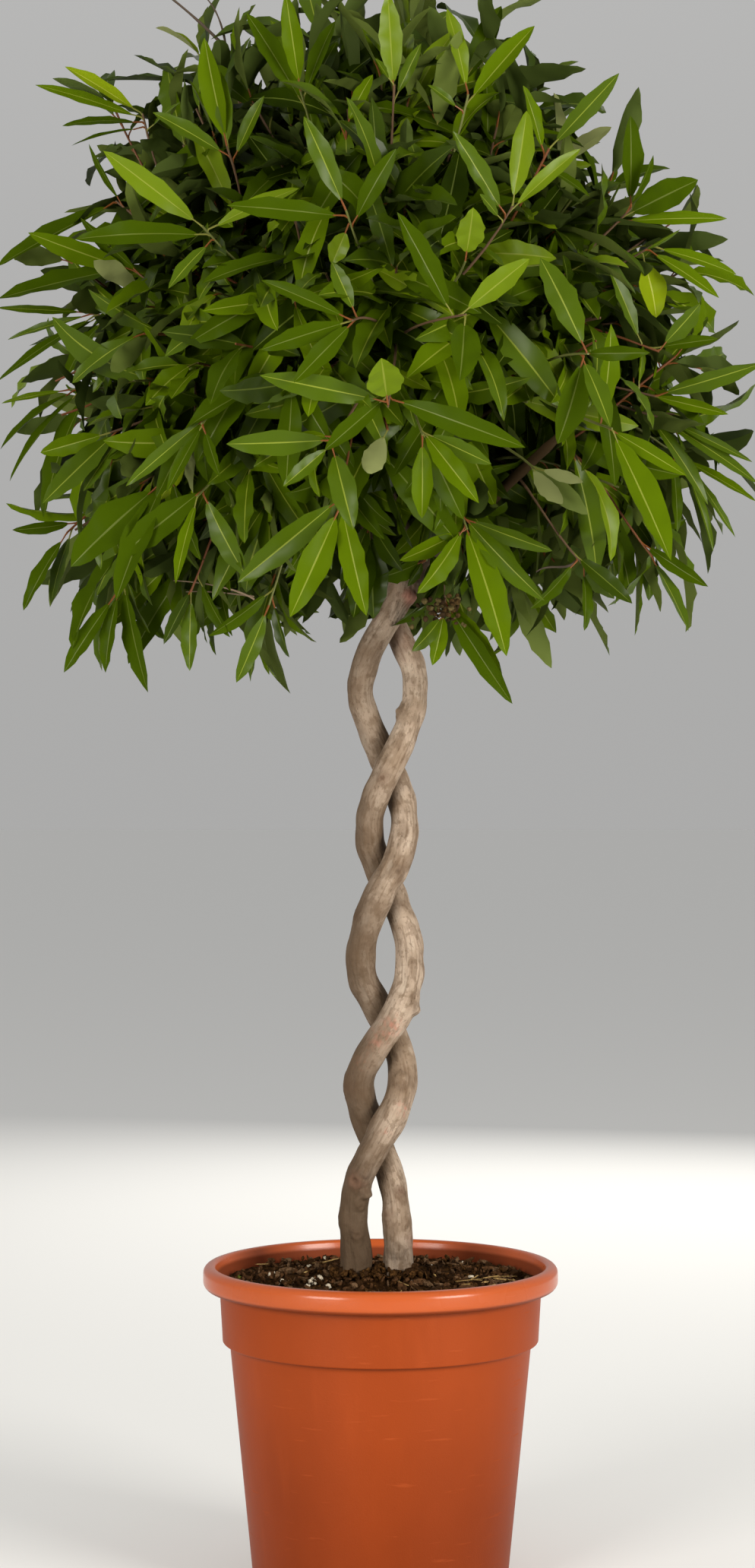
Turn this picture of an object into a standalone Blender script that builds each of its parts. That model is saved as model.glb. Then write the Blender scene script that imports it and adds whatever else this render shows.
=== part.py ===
"""Standard bay topiary: two stems twined round each other under a leafy ball, in a
plastic pot of compost.

Metres, +Z up. The origin is the centre of the pot's flat underside and the plant's
front is towards -Y. Every limb is a tapering tube along a path worked out below, and
every mass of leaves is one lumpy closed solid, parted from its neighbours by a plane.
"""

import itertools
import math

import bmesh
import bpy
from mathutils import Matrix, Vector, noise
from mathutils.bvhtree import BVHTree

CLEARANCE = 0.0003  # left between two pieces that touch

# Pot: a thin-walled container with a rolled rim and a collar band under it.
POT_HEIGHT = 0.250
RIM_RADIUS = 0.140
RIM_ROLL_HEIGHT = 0.018
LIP_RADIUS = 0.130
COLLAR_RADIUS = 0.127
COLLAR_FOOT_RADIUS = 0.1247
COLLAR_FOOT_Z = 0.190
BODY_RADIUS = 0.119
BASE_RADIUS = 0.1005
WALL = 0.0026
FLOOR = 0.003
POT_SIDES = 40

# Compost: level where the stems stand, falling a little to the wall.
SOIL_TOP = 0.2375
SOIL_SEAT_RADIUS = 0.042
SOIL_EDGE_DROP = 0.005

# The twist, from the foot up: height, quarter turns made, sideways place of its middle,
# and how far each stem stands from that middle. The stems are side by side after an even
# number of quarter turns and cross after an odd one.
TWIST = (
    (0.238, 0, -0.0010, 0.0160),
    (0.287, 0, -0.0044, 0.0170),
    (0.346, 1, -0.0036, 0.0172),
    (0.391, 2, 0.0002, 0.0179),
    (0.437, 3, 0.0060, 0.0190),
    (0.491, 4, 0.0038, 0.0203),
    (0.550, 5, 0.0042, 0.0170),
    (0.595, 6, 0.0050, 0.0142),
    (0.643, 7, 0.0064, 0.0180),
    (0.704, 8, 0.0062, 0.0222),
    (0.759, 9, 0.0066, 0.0205),
    (0.815, 10, 0.0066, 0.0190),
)
# Stem thickness: height and radius.
STEM_RADII = (
    (0.238, 0.0116),
    (0.270, 0.0108),
    (0.391, 0.0113),
    (0.500, 0.0110),
    (0.600, 0.0106),
    (0.704, 0.0099),
    (0.765, 0.0097),
    (0.802, 0.0112),
)
STEM_STEP = 0.0125  # height between two rings of a stem
CROSSING_ALLOWANCE = 0.0003  # what a stem's straight facets cut off its bends
STEM_TOPS = {"stem_left": 0.790, "stem_right": 0.803}

# Boughs: the stem each springs from, the mass it carries, where it stands round the
# stem's head in degrees from +X, and its radius at each end.
BOUGHS = {
    "bough_front": ("stem_left", "foliage_front", -140, 0.0038, 0.0030),
    "bough_right": ("stem_left", "foliage_front_right", -20, 0.0046, 0.0034),
    "bough_back_right": ("stem_left", "foliage_back_right", 100, 0.0038, 0.0030),
    "bough_leader": ("stem_right", "foliage_top", 0, 0.0046, 0.0036),
    "bough_back_left": ("stem_right", "foliage_back_left", 120, 0.0038, 0.0030),
    "bough_left": ("stem_right", "foliage_front_left", 240, 0.0042, 0.0032),
}
BOUGH_SPACING = 0.0053  # from the middle of a stem's head to a bough's foot
BOUGH_RISE = 0.006      # straight stretch at a bough's foot
BOUGH_SOCKET = 0.012    # how far a bough runs into its mass
BOUGH_POINTS = 9

# Masses of leaves: compass bearing from +X in degrees, reach of the middle from the
# plant's axis, height of the middle, and half sizes outwards, across and upwards.
MASSES = {
    "foliage_top": (175, 0.020, 1.085, (0.222, 0.218, 0.192)),
    "foliage_front": (264, 0.164, 0.955, (0.130, 0.150, 0.178)),
    "foliage_front_left": (197, 0.166, 0.920, (0.136, 0.158, 0.222)),
    "foliage_back_left": (142, 0.164, 0.928, (0.132, 0.152, 0.214)),
    "foliage_back": (89, 0.162, 0.936, (0.132, 0.150, 0.204)),
    "foliage_back_right": (36, 0.164, 0.930, (0.132, 0.152, 0.212)),
    "foliage_front_right": (338, 0.166, 0.926, (0.134, 0.156, 0.214)),
    "foliage_hanging_spray": (320, 0.086, 0.757, (0.036, 0.044, 0.062)),
}
MASS_SIDES = 20
MASS_RINGS = 13
LUMP_DEPTH = 0.11  # of a mass's half size
LUMPS_ROUND = 2.1  # lumps over a mass's half size


def make_material(name, colour, roughness):
    material = bpy.data.materials.new(name)
    material.use_nodes = True
    shader = material.node_tree.nodes["Principled BSDF"]
    shader.inputs["Base Color"].default_value = (*colour, 1.0)
    shader.inputs["Roughness"].default_value = roughness
    shader.inputs["Metallic"].default_value = 0.0
    material.diffuse_color = (*colour, 1.0)
    return material


def make_collection(name):
    collection = bpy.data.collections.new(name)
    bpy.context.scene.collection.children.link(collection)
    return collection


def finish(name, bm, material, collection, crease_angle=math.radians(35)):
    """Turn a bmesh into a smooth-shaded object of the collection."""
    mesh = bpy.data.meshes.new(name)
    bm.to_mesh(mesh)
    bm.free()
    mesh.materials.append(material)
    mesh.shade_smooth()
    mesh.set_sharp_from_angle(angle=crease_angle)
    piece = bpy.data.objects.new(name, mesh)
    collection.objects.link(piece)
    return piece


def arc(radius, height, bend, start, stop, steps=3):
    """Points of a rounded corner in a profile, from one angle to another."""
    angles = [math.radians(start + (stop - start) * i / steps) for i in range(steps + 1)]
    return [(radius + bend * math.cos(a), height + bend * math.sin(a)) for a in angles]


def turned(name, profile, material, collection):
    """A solid turned round +Z from a profile that runs down its outer side."""
    bm = bmesh.new()
    points = [bm.verts.new((radius, 0.0, height)) for radius, height in profile]
    for lower, upper in itertools.pairwise(points):
        bm.edges.new((lower, upper))
    piece = finish(name, bm, material, collection)
    screw = piece.modifiers.new("turn", "SCREW")
    screw.steps = screw.render_steps = POT_SIDES
    screw.use_merge_vertices = True
    screw.merge_threshold = 0.00005
    screw.use_smooth_shade = True
    return piece


def inner_wall():
    """The pot's inside from its floor to under the lip."""
    step_z = COLLAR_FOOT_Z - 0.002
    return [
        (BASE_RADIUS - WALL - 0.003, FLOOR),
        (BASE_RADIUS - WALL, FLOOR + 0.003),
        (BODY_RADIUS - WALL, step_z),
        (COLLAR_FOOT_RADIUS - WALL, step_z + 0.005),
        (COLLAR_RADIUS - WALL, POT_HEIGHT - RIM_ROLL_HEIGHT + 0.002),
    ]


def make_pot(material, collection):
    roll_foot = POT_HEIGHT - RIM_ROLL_HEIGHT
    lip_bend, rim_bend, collar_bend, base_bend = 0.003, 0.0058, 0.0016, 0.003
    lip = arc(LIP_RADIUS + lip_bend, POT_HEIGHT - lip_bend, lip_bend, 180, 90)
    rim = arc(RIM_RADIUS - rim_bend, POT_HEIGHT - rim_bend, rim_bend, 90, 0)
    rim += arc(RIM_RADIUS - rim_bend, roll_foot + rim_bend, rim_bend, 0, -80)
    collar = [(COLLAR_RADIUS, roll_foot + 0.0006)]
    collar += arc(COLLAR_FOOT_RADIUS - collar_bend, COLLAR_FOOT_Z + collar_bend, collar_bend, 0, -70)
    body = [(BODY_RADIUS, COLLAR_FOOT_Z - 0.0012)]
    base = arc(BASE_RADIUS - base_bend, base_bend, base_bend, -6, -90)
    profile = [(0.0, FLOOR)] + inner_wall() + lip + rim + collar + body + base + [(0.0, 0.0)]
    return turned("pot", profile, material, collection)


def make_soil(material, collection):
    side = [(r - CLEARANCE, z + CLEARANCE) for r, z in inner_wall()]
    edge_z = SOIL_TOP - SOIL_EDGE_DROP
    (low_r, low_z), (high_r, high_z) = side[-2:]
    edge_r = low_r + (high_r - low_r) * (edge_z - low_z) / (high_z - low_z)
    seat = (SOIL_SEAT_RADIUS, SOIL_TOP)
    shoulder = ((SOIL_SEAT_RADIUS + edge_r) / 2, SOIL_TOP - 0.35 * SOIL_EDGE_DROP)
    profile = [(0.0, SOIL_TOP), seat, shoulder, (edge_r, edge_z)]
    profile += side[-2::-1] + [(0.0, FLOOR + CLEARANCE)]
    return turned("soil", profile, material, collection)


def along(rows, height, column):
    """Smooth value of a table's column at a height, held level past its ends."""
    heights = [row[0] for row in rows]
    values = [row[column] for row in rows]
    if height <= heights[0]:
        return values[0]
    if height >= heights[-1]:
        return values[-1]
    i = max(k for k, h in enumerate(heights) if h <= height)
    last = len(rows) - 1

    def slope(k):
        before, after = max(k - 1, 0), min(k + 1, last)
        return (values[after] - values[before]) / (heights[after] - heights[before])

    span = heights[i + 1] - heights[i]
    t = (height - heights[i]) / span
    return (
        (2 * t**3 - 3 * t**2 + 1) * values[i]
        + (t**3 - 2 * t**2 + t) * span * slope(i)
        + (3 * t**2 - 2 * t**3) * values[i + 1]
        + (t**3 - t**2) * span * slope(i + 1)
    )


def stem_point(height, start):
    """Centre of a stem that stands at the angle start, in degrees, at its foot."""
    angle = math.radians(start + 90.0 * along(TWIST, height, 1))
    radius = along(STEM_RADII, height, 1)
    side = along(TWIST, height, 3) * math.cos(angle)
    depth = (radius + (CLEARANCE + CROSSING_ALLOWANCE) / 2) * math.sin(angle)
    return Vector((along(TWIST, height, 2) + side, depth, height))


def limb(name, points, radii, material, collection):
    """A tapering tube with flat ends through the points."""
    curve = bpy.data.curves.new(name, "CURVE")
    curve.dimensions = "3D"
    curve.bevel_depth = 1.0
    curve.bevel_resolution = 4
    curve.use_fill_caps = True
    spline = curve.splines.new("POLY")
    spline.points.add(len(points) - 1)
    for knot, place, radius in zip(spline.points, points, radii):
        knot.co = (*place, 1.0)
        knot.radius = radius
    spline.use_smooth = True
    curve.materials.append(material)
    piece = bpy.data.objects.new(name, curve)
    collection.objects.link(piece)
    return piece


def make_stem(name, start, material, collection):
    foot, top = SOIL_TOP + CLEARANCE, STEM_TOPS[name]
    rings = round((top - foot) / STEM_STEP)
    heights = [foot + (top - foot) * i / rings for i in range(rings + 1)]
    points = [stem_point(height, start) for height in heights]
    points[0].xy = points[1].xy  # the foot stands upright, so that its cut is level
    radii = [along(STEM_RADII, height, 1) for height in heights]
    limb(name, points, radii, material, collection)
    return points[-1], (points[-1] - points[-2]).normalized()


def mass_shape(name, seed):
    """A lumpy egg of the named sizes, standing on its bearing, as a bmesh."""
    bearing, reach, height, half = MASSES[name]
    bm = bmesh.new()
    bmesh.ops.create_uvsphere(bm, u_segments=MASS_SIDES, v_segments=MASS_RINGS, radius=1.0)
    for vert in bm.verts:
        lump = noise.noise(vert.co * LUMPS_ROUND + Vector((7.3 * seed, 0.0, 0.0)))
        vert.co *= 1.0 + LUMP_DEPTH * lump
    place = Matrix.Rotation(math.radians(bearing), 4, "Z") @ Matrix.Translation((reach, 0, height))
    bmesh.ops.transform(bm, matrix=place @ Matrix.Diagonal((*half, 1.0)), verts=bm.verts)
    return bm


def middle(name):
    bearing, reach, height, _ = MASSES[name]
    angle = math.radians(bearing)
    return Vector((reach * math.cos(angle), reach * math.sin(angle), height))


def half_size_towards(name, direction):
    """How far a mass reaches from its middle along a direction."""
    bearing, _, _, half = MASSES[name]
    local = Matrix.Rotation(-math.radians(bearing), 3, "Z") @ direction
    return 1.0 / math.sqrt(sum((part / size) ** 2 for part, size in zip(local, half)))


def part_from_neighbours(name, bm):
    """Cut a mass flat where it meets each mass that overlaps it."""
    here = middle(name)
    for other in MASSES:
        if other == name:
            continue
        step = middle(other) - here
        towards = step.normalized()
        mine, theirs = half_size_towards(name, towards), half_size_towards(other, towards)
        if mine + theirs < step.length:
            continue
        plane = here + step * mine / (mine + theirs) - towards * CLEARANCE / 2
        bmesh.ops.bisect_plane(
            bm, geom=bm.verts[:] + bm.edges[:] + bm.faces[:], dist=1e-6,
            plane_co=plane, plane_no=towards, clear_outer=True,
        )
        bmesh.ops.holes_fill(bm, edges=[edge for edge in bm.edges if edge.is_boundary])
    bmesh.ops.remove_doubles(bm, verts=bm.verts, dist=0.0004)
    bmesh.ops.dissolve_degenerate(bm, edges=bm.edges, dist=0.0001)


def bough_path(foot, grain, mass_tree, target):
    """Points from a stem's head straight up its grain, then in a curve into the mass."""
    start = foot + grain * CLEARANCE
    knee = start + grain * BOUGH_RISE
    aim = (target - knee).normalized()
    entry = mass_tree.ray_cast(knee, aim)[0]
    end = entry + aim * BOUGH_SOCKET
    bend = (end - knee).length / 3
    shape = (knee, knee + grain * bend, end - aim * bend, end)
    curve = []
    for i in range(BOUGH_POINTS):
        t = i / (BOUGH_POINTS - 1)
        weights = ((1 - t) ** 3, 3 * t * (1 - t) ** 2, 3 * t**2 * (1 - t), t**3)
        curve.append(sum((w * p for w, p in zip(weights, shape)), Vector()))
    return [start] + curve


def as_mesh(piece, collection):
    """The same tube as a closed mesh, for use as a cutter."""
    graph = bpy.context.evaluated_depsgraph_get()
    mesh = bpy.data.meshes.new_from_object(piece.evaluated_get(graph))
    bm = bmesh.new()
    bm.from_mesh(mesh)
    bmesh.ops.remove_doubles(bm, verts=bm.verts, dist=0.00001)
    bmesh.ops.recalc_face_normals(bm, faces=bm.faces)
    bm.to_mesh(mesh)
    bm.free()
    cutter = bpy.data.objects.new(piece.name + "_cutter", mesh)
    cutter.matrix_world = piece.matrix_world
    collection.objects.link(cutter)
    bpy.data.objects.remove(piece)
    cutter.hide_render = True
    cutter.display_type = "WIRE"
    return cutter


def cut_socket(mass, name, points, radii, material, cutters):
    """Cut the hole that a bough fills in its mass, a clearance wider and longer."""
    reach = (points[-1] - points[-2]).normalized() * CLEARANCE
    wider = [radius + CLEARANCE for radius in radii]
    tube = limb(name + "_socket", points[:-1] + [points[-1] + reach], wider, material, cutters)
    cut = mass.modifiers.new(name, "BOOLEAN")
    cut.operation = "DIFFERENCE"
    cut.solver = "EXACT"
    cut.object = as_mesh(tube, cutters)


def make_bough(name, heads, masses, material, collection, cutters):
    stem, mass_name, bearing, thick, thin = BOUGHS[name]
    head, grain = heads[stem]
    across = (Vector((1, 0, 0)) - grain * grain.x).normalized()
    foot = head + Matrix.Rotation(math.radians(bearing), 3, grain) @ across * BOUGH_SPACING
    mesh = masses[mass_name].data
    faces = [face.vertices for face in mesh.polygons]
    tree = BVHTree.FromPolygons([vert.co for vert in mesh.vertices], faces)
    points = bough_path(foot, grain, tree, middle(mass_name))
    radii = [thick + (thin - thick) * i / (len(points) - 1) for i in range(len(points))]
    limb(name, points, radii, material, collection)
    cut_socket(masses[mass_name], name, points, radii, material, cutters)


for old in list(bpy.data.objects):
    bpy.data.objects.remove(old, do_unlink=True)

parts = make_collection("standard_bay_topiary")
cutting = make_collection("cutters")
cutting.hide_render = True

plastic = make_material("terracotta plastic", (0.42, 0.075, 0.022), 0.42)
compost = make_material("compost", (0.028, 0.014, 0.006), 0.95)
bark = make_material("bark", (0.28, 0.20, 0.13), 0.85)
twig_bark = make_material("twig bark", (0.13, 0.075, 0.035), 0.8)
leaves = make_material("leaves", (0.05, 0.12, 0.008), 0.45)

make_pot(plastic, parts)
make_soil(compost, parts)
stem_heads = {
    "stem_left": make_stem("stem_left", 180.0, bark, parts),
    "stem_right": make_stem("stem_right", 0.0, bark, parts),
}
foliage = {}
for number, mass_name in enumerate(MASSES):
    shape = mass_shape(mass_name, number)
    part_from_neighbours(mass_name, shape)
    foliage[mass_name] = finish(mass_name, shape, leaves, parts)
for bough_name in BOUGHS:
    make_bough(bough_name, stem_heads, foliage, twig_bark, parts, cutting)
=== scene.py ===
"""Standard bay topiary, finished: two twined stems under a ball of glossy leaves, in a
terracotta-coloured plastic pot. Metres, +Z up, the plant's front towards -Y.
"""

import itertools
import math

import bmesh
import bpy
import numpy as np
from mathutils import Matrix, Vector, noise
from mathutils.bvhtree import BVHTree
from mathutils.kdtree import KDTree


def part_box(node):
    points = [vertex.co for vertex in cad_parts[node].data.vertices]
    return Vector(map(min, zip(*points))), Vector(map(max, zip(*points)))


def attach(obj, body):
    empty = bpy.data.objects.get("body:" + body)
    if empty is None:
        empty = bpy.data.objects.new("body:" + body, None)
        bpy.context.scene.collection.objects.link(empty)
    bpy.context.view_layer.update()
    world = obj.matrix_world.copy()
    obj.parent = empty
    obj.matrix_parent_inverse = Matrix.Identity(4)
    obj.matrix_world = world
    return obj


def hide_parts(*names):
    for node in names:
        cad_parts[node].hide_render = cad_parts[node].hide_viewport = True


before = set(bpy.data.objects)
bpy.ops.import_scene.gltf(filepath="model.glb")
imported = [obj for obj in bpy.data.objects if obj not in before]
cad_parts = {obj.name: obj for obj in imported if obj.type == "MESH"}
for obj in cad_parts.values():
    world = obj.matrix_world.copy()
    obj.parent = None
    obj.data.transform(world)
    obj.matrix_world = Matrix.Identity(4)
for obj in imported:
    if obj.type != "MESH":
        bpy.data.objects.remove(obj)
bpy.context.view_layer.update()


# Floor, light and camera. The plant stands on a pale floor under an even pale sky, with one
# broad soft lamp on either side of the front, level with the leaves, and a weaker one behind.

FLOOR_HALF = 40.0
SKY_LOW = (0.411, 0.409, 0.404)
SKY_HIGH = (0.520, 0.518, 0.512)
SKY_BLEND = 0.45  # upward part of a view at which the sky is at its brightest
LAMPS = {  # place, side length, power in watts
    "lamp_left": ((-1.9, -2.7, 0.95), 1.3, 85.0),
    "lamp_right": ((2.4, -2.2, 1.12), 1.3, 108.0),
    "lamp_behind": ((0.6, 2.6, 1.6), 1.8, 40.0),
}
LAMP_COLOUR = (1.0, 0.965, 0.90)
LAMP_AIM = Vector((0.0, 0.0, 0.75))
CAMERA_PLACE = (-0.0024, -2.42, 0.629)
CAMERA_LENS = 70.34
VIEW_END = 200.0

scene = bpy.context.scene
scene.view_settings.view_transform = "Standard"

for lamp_name, (place, side, power) in LAMPS.items():
    lamp = bpy.data.lights.new(lamp_name, "AREA")
    lamp.size = side
    lamp.energy = power
    lamp.color = LAMP_COLOUR
    stand = bpy.data.objects.new(lamp_name, lamp)
    stand.location = place
    stand.visible_glossy = lamp_name != "lamp_behind"
    stand.rotation_euler = (LAMP_AIM - Vector(place)).to_track_quat("-Z", "Y").to_euler()
    scene.collection.objects.link(stand)

view = bpy.data.cameras.new("camera")
view.lens = CAMERA_LENS
view.clip_end = VIEW_END
camera = bpy.data.objects.new("camera", view)
camera.location = CAMERA_PLACE
camera.rotation_euler = (math.radians(90), 0.0, 0.0)
scene.collection.objects.link(camera)
scene.camera = camera


class Value:
    """A number that varies over a surface. Arithmetic on it adds Math nodes."""

    def __init__(self, nodes, socket):
        self.nodes = nodes
        self.socket = socket

    def maths(self, operation, first, second):
        return self.nodes.node("Math", {0: first, 1: second}, operation=operation)

    def __add__(self, other):
        return self.maths("ADD", self, other)

    def __sub__(self, other):
        return self.maths("SUBTRACT", self, other)

    def __rsub__(self, other):
        return self.maths("SUBTRACT", other, self)

    def __mul__(self, other):
        return self.maths("MULTIPLY", self, other)

    __radd__ = __add__


class Nodes:
    """A node tree, with one way to add a node to it."""

    def __init__(self, tree):
        self.tree = tree

    def feed(self, socket, value):
        if isinstance(value, Value):
            self.tree.links.new(value.socket, socket)
        else:
            socket.default_value = value

    def node(self, kind, sockets, result=0, **settings):
        made = self.tree.nodes.new("ShaderNode" + kind)
        for setting, value in settings.items():
            setattr(made, setting, value)
        for socket, value in sockets.items():
            self.feed(made.inputs[socket], value)
        return Value(self, made.outputs[result])

    def grain(self, place, scale, stretch=(1.0, 1.0, 1.0), detail=3.0):
        """Cloudy noise from 0 to 1 over a place, stretched along its axes."""
        mapped = self.node("Mapping", {"Vector": place, "Scale": [scale * part for part in stretch]})
        return self.node("TexNoise", {"Vector": mapped, "Scale": 1.0, "Detail": detail})

    def step(self, value, low, high):
        """0 below low, 1 above high and smooth between."""
        sockets = {0: value, 1: low, 2: high, 3: 0.0, 4: 1.0}
        return self.node("MapRange", sockets, interpolation_type="SMOOTHSTEP")

    def mix(self, share, colour, other):
        ends = [c if isinstance(c, Value) else (*c, 1.0) for c in (colour, other)]
        return self.node("Mix", {0: share, 6: ends[0], 7: ends[1]}, 2, data_type="RGBA")


class Finish(Nodes):
    """A material of one colour and roughness, until something that varies is set."""

    def __init__(self, name, colour, roughness, specular=0.5):
        self.material = bpy.data.materials.new(name)
        self.material.use_nodes = True
        self.material.diffuse_color = (*colour, 1.0)
        super().__init__(self.material.node_tree)
        self.set("Base Color", (*colour, 1.0))
        self.set("Roughness", roughness)
        self.set("Specular IOR Level", specular)

    def set(self, name, value):
        self.feed(self.tree.nodes["Principled BSDF"].inputs[name], value)

    def relief(self, height, depth):
        """A bump of the given depth in metres from a height between 0 and 1."""
        self.set("Normal", self.node("Bump", {"Height": height, "Distance": depth, "Strength": 1.0}))


scene.world = bpy.data.worlds.new("sky")
scene.world.use_nodes = True
sky = Nodes(scene.world.node_tree)
sky_rise = sky.node("SeparateXYZ", {0: sky.node("TexCoord", {}, "Generated")}, "Z")
sky_colour = sky.mix(sky.step(sky_rise, 0.0, SKY_BLEND), SKY_LOW, SKY_HIGH)
sky.feed(scene.world.node_tree.nodes["Background"].inputs["Color"], sky_colour)


def piece_from(name, shape, finishes, slot, *stood_for, crease=35):
    """Make a bmesh a smooth-shaded piece that rides on the plant."""
    mesh = bpy.data.meshes.new(name)
    shape.to_mesh(mesh)
    shape.free()
    piece_of(name, mesh, finishes, slot, *stood_for, crease=crease)


def piece_of(name, mesh, finishes, slot, *stood_for, crease=35):
    for finish in finishes:
        mesh.materials.append(finish.material)
    mesh.shade_smooth()
    mesh.set_sharp_from_angle(angle=math.radians(crease))
    piece = bpy.data.objects.new(name, mesh)
    scene.collection.objects.link(piece)
    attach(piece, "root")
    if stood_for:
        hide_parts(*stood_for)


floor_shape = bmesh.new()
bmesh.ops.create_grid(floor_shape, x_segments=1, y_segments=1, size=FLOOR_HALF)
floor_mesh = bpy.data.meshes.new("floor")
floor_shape.to_mesh(floor_mesh)
floor_shape.free()
floor_paint = Finish("pale floor", (0.79, 0.79, 0.78), 0.8, specular=0.1)
floor_mesh.materials.append(floor_paint.material)
floor = bpy.data.objects.new("floor", floor_mesh)
scene.collection.objects.link(floor)


# Pot. An injection-moulded polypropylene container: a rolled rim over a collar band, a
# tapering body and a floor with drainage holes, all one thin wall of terracotta colour.

POT_SIDES = 144
POT_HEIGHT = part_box("pot")[1].z
RIM_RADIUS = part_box("pot")[1].x
RIM_ROLL = 0.018       # height of the rolled rim
LIP_RADIUS = 0.130
COLLAR_RADIUS = 0.127
COLLAR_FOOT_RADIUS = 0.1247
COLLAR_FOOT_Z = 0.190
BODY_RADIUS = 0.119
BASE_RADIUS = 0.1005
WALL = 0.0026
FLOOR_THICKNESS = 0.003
HOLE_RING = (0.058, 0.070)  # radii between which the drainage holes lie
HOLE_STEPS = 5              # width of a hole, in steps of the turned shape
HOLES = 8
HOLE_DEPTH = 0.0025         # a little less than the floor's thickness
TERRACOTTA = (0.272, 0.0440, 0.0066)
TERRACOTTA_DEEP = (0.180, 0.0275, 0.0036)
TERRACOTTA_WORN = (0.420, 0.0800, 0.0170)
TERRACOTTA_DUST_AND_SHADE = (0.110, 0.0210, 0.0060)


def arc(radius, height, bend, start, stop, steps=7):
    """Points of a rounded corner in a profile, from one angle to another."""
    angles = np.radians(np.linspace(start, stop, steps + 1))
    return [(radius + bend * math.cos(a), height + bend * math.sin(a)) for a in angles]


def straight(start, stop, steps):
    """Points of a straight run of a profile, without its last."""
    return [tuple(p) for p in np.linspace(start, stop, steps + 1)[:-1]]


def turned(profile, sides):
    """A closed bmesh spun round +Z from a profile that starts and ends on the axis."""
    shape = bmesh.new()
    points = [shape.verts.new((radius, 0.0, height)) for radius, height in profile]
    edges = [shape.edges.new(pair) for pair in itertools.pairwise(points)]
    bmesh.ops.spin(
        shape, geom=points + edges, cent=(0, 0, 0), axis=(0, 0, 1), dvec=(0, 0, 0),
        angle=math.tau, steps=sides, use_merge=True, use_duplicate=False,
    )
    bmesh.ops.remove_doubles(shape, verts=shape.verts, dist=1e-6)
    bmesh.ops.recalc_face_normals(shape, faces=shape.faces)
    return shape


roll_foot = POT_HEIGHT - RIM_ROLL
lip_bend, rim_bend, collar_bend, base_bend = 0.003, 0.0058, 0.0016, 0.003
inner_step_z = COLLAR_FOOT_Z - 0.002
inner_wall = [
    (BASE_RADIUS - WALL - 0.003, FLOOR_THICKNESS),
    (BASE_RADIUS - WALL, FLOOR_THICKNESS + 0.003),
    (BODY_RADIUS - WALL, inner_step_z),
    (COLLAR_FOOT_RADIUS - WALL, inner_step_z + 0.005),
    (COLLAR_RADIUS - WALL, roll_foot + 0.002),
]
collar_top = (COLLAR_RADIUS - 0.00012, roll_foot - 0.003)
collar_foot = (COLLAR_FOOT_RADIUS, COLLAR_FOOT_Z + 0.003)
pot_profile = [
    (0.0, FLOOR_THICKNESS), *inner_wall,
    *arc(LIP_RADIUS + lip_bend, POT_HEIGHT - lip_bend, lip_bend, 180, 90),
    *arc(RIM_RADIUS - rim_bend, POT_HEIGHT - rim_bend, rim_bend, 90, 0),
    *arc(RIM_RADIUS - rim_bend, roll_foot + rim_bend, rim_bend, 0, -80),
    (RIM_RADIUS - rim_bend - 0.004, roll_foot + 0.0010),
    (COLLAR_RADIUS + 0.0022, roll_foot + 0.0022), (COLLAR_RADIUS, roll_foot + 0.0006),
    *straight(collar_top, collar_foot, 5),
    *arc(COLLAR_FOOT_RADIUS - collar_bend, COLLAR_FOOT_Z + collar_bend, collar_bend, 0, -75),
    (BODY_RADIUS + 0.0012, COLLAR_FOOT_Z + 0.0004), (BODY_RADIUS, COLLAR_FOOT_Z - 0.0012),
    *straight((BODY_RADIUS - 0.0004, COLLAR_FOOT_Z - 0.005), (BASE_RADIUS, base_bend), 12),
    *arc(BASE_RADIUS - base_bend, base_bend, base_bend, -6, -90),
    (0.085, 0.0), (HOLE_RING[1], 0.0), (HOLE_RING[0], 0.0), (0.03, 0.0), (0.0, 0.0),
]
pot_shape = turned(pot_profile, POT_SIDES)


def in_hole(face):
    """Whether an underside face lies in one of the drainage holes."""
    middle = face.calc_center_median()
    turn = math.degrees(math.atan2(middle.y, middle.x)) % (360 / HOLES)
    width = HOLE_STEPS * 360 / POT_SIDES
    ring = HOLE_RING[0] < math.hypot(middle.x, middle.y) < HOLE_RING[1]
    return ring and abs(middle.z) < 1e-5 and turn < width


pot_shape.faces.ensure_lookup_table()
holes = [face for face in pot_shape.faces if in_hole(face)]
sunk = bmesh.ops.extrude_face_region(pot_shape, geom=holes)["geom"]
bmesh.ops.delete(pot_shape, geom=holes, context="FACES")
sunk_verts = [part for part in sunk if isinstance(part, bmesh.types.BMVert)]
bmesh.ops.translate(pot_shape, verts=sunk_verts, vec=(0.0, 0.0, HOLE_DEPTH))

plastic = Finish("terracotta plastic", TERRACOTTA, 0.42, specular=0.10)
at = plastic.node("TexCoord", {}, "Object")
height = plastic.node("SeparateXYZ", {0: at}, "Z")
clouds = plastic.grain(at, 13.0, (1, 1, 0.6), 4.0)
smears = plastic.grain(at, 46.0, (1.0, 1.0, 0.18), 3.0)
specks = plastic.grain(at, 850.0, detail=2.0)
scuffs = plastic.step(plastic.grain(at, 120.0, (0.25, 0.25, 2.4), 4.0), 0.64, 0.74)
# Painted shade: the body darkens towards its foot, as the light falls off there; the clouds add real
# mottling.
painted_low_shade = 1 - plastic.step(height, 0.0, 0.2)
mottle_and_painted_shade = plastic.step(clouds, 0.3, 0.7) * 0.30 + painted_low_shade * 0.80
colour = plastic.mix(mottle_and_painted_shade, TERRACOTTA, TERRACOTTA_DEEP)
colour = plastic.mix(scuffs * 0.22 + plastic.step(smears, 0.55, 0.8) * 0.12, colour, TERRACOTTA_WORN)
rim_mask = plastic.step(height, roll_foot + 0.0016, roll_foot + 0.004)
colour = plastic.mix(rim_mask * 0.85, colour, TERRACOTTA_WORN)
level_place = plastic.node("VectorMath", {0: at, 1: (1, 1, 0)}, operation="MULTIPLY")
reach = plastic.node("VectorMath", {0: level_place}, "Value", operation="LENGTH")
# Painted shadow: thin dark bands under the rolled rim and under the collar's foot, where shade falls.
under_rim = plastic.step(height, roll_foot - 0.006, roll_foot - 0.0005) * (1 - rim_mask)
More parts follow.
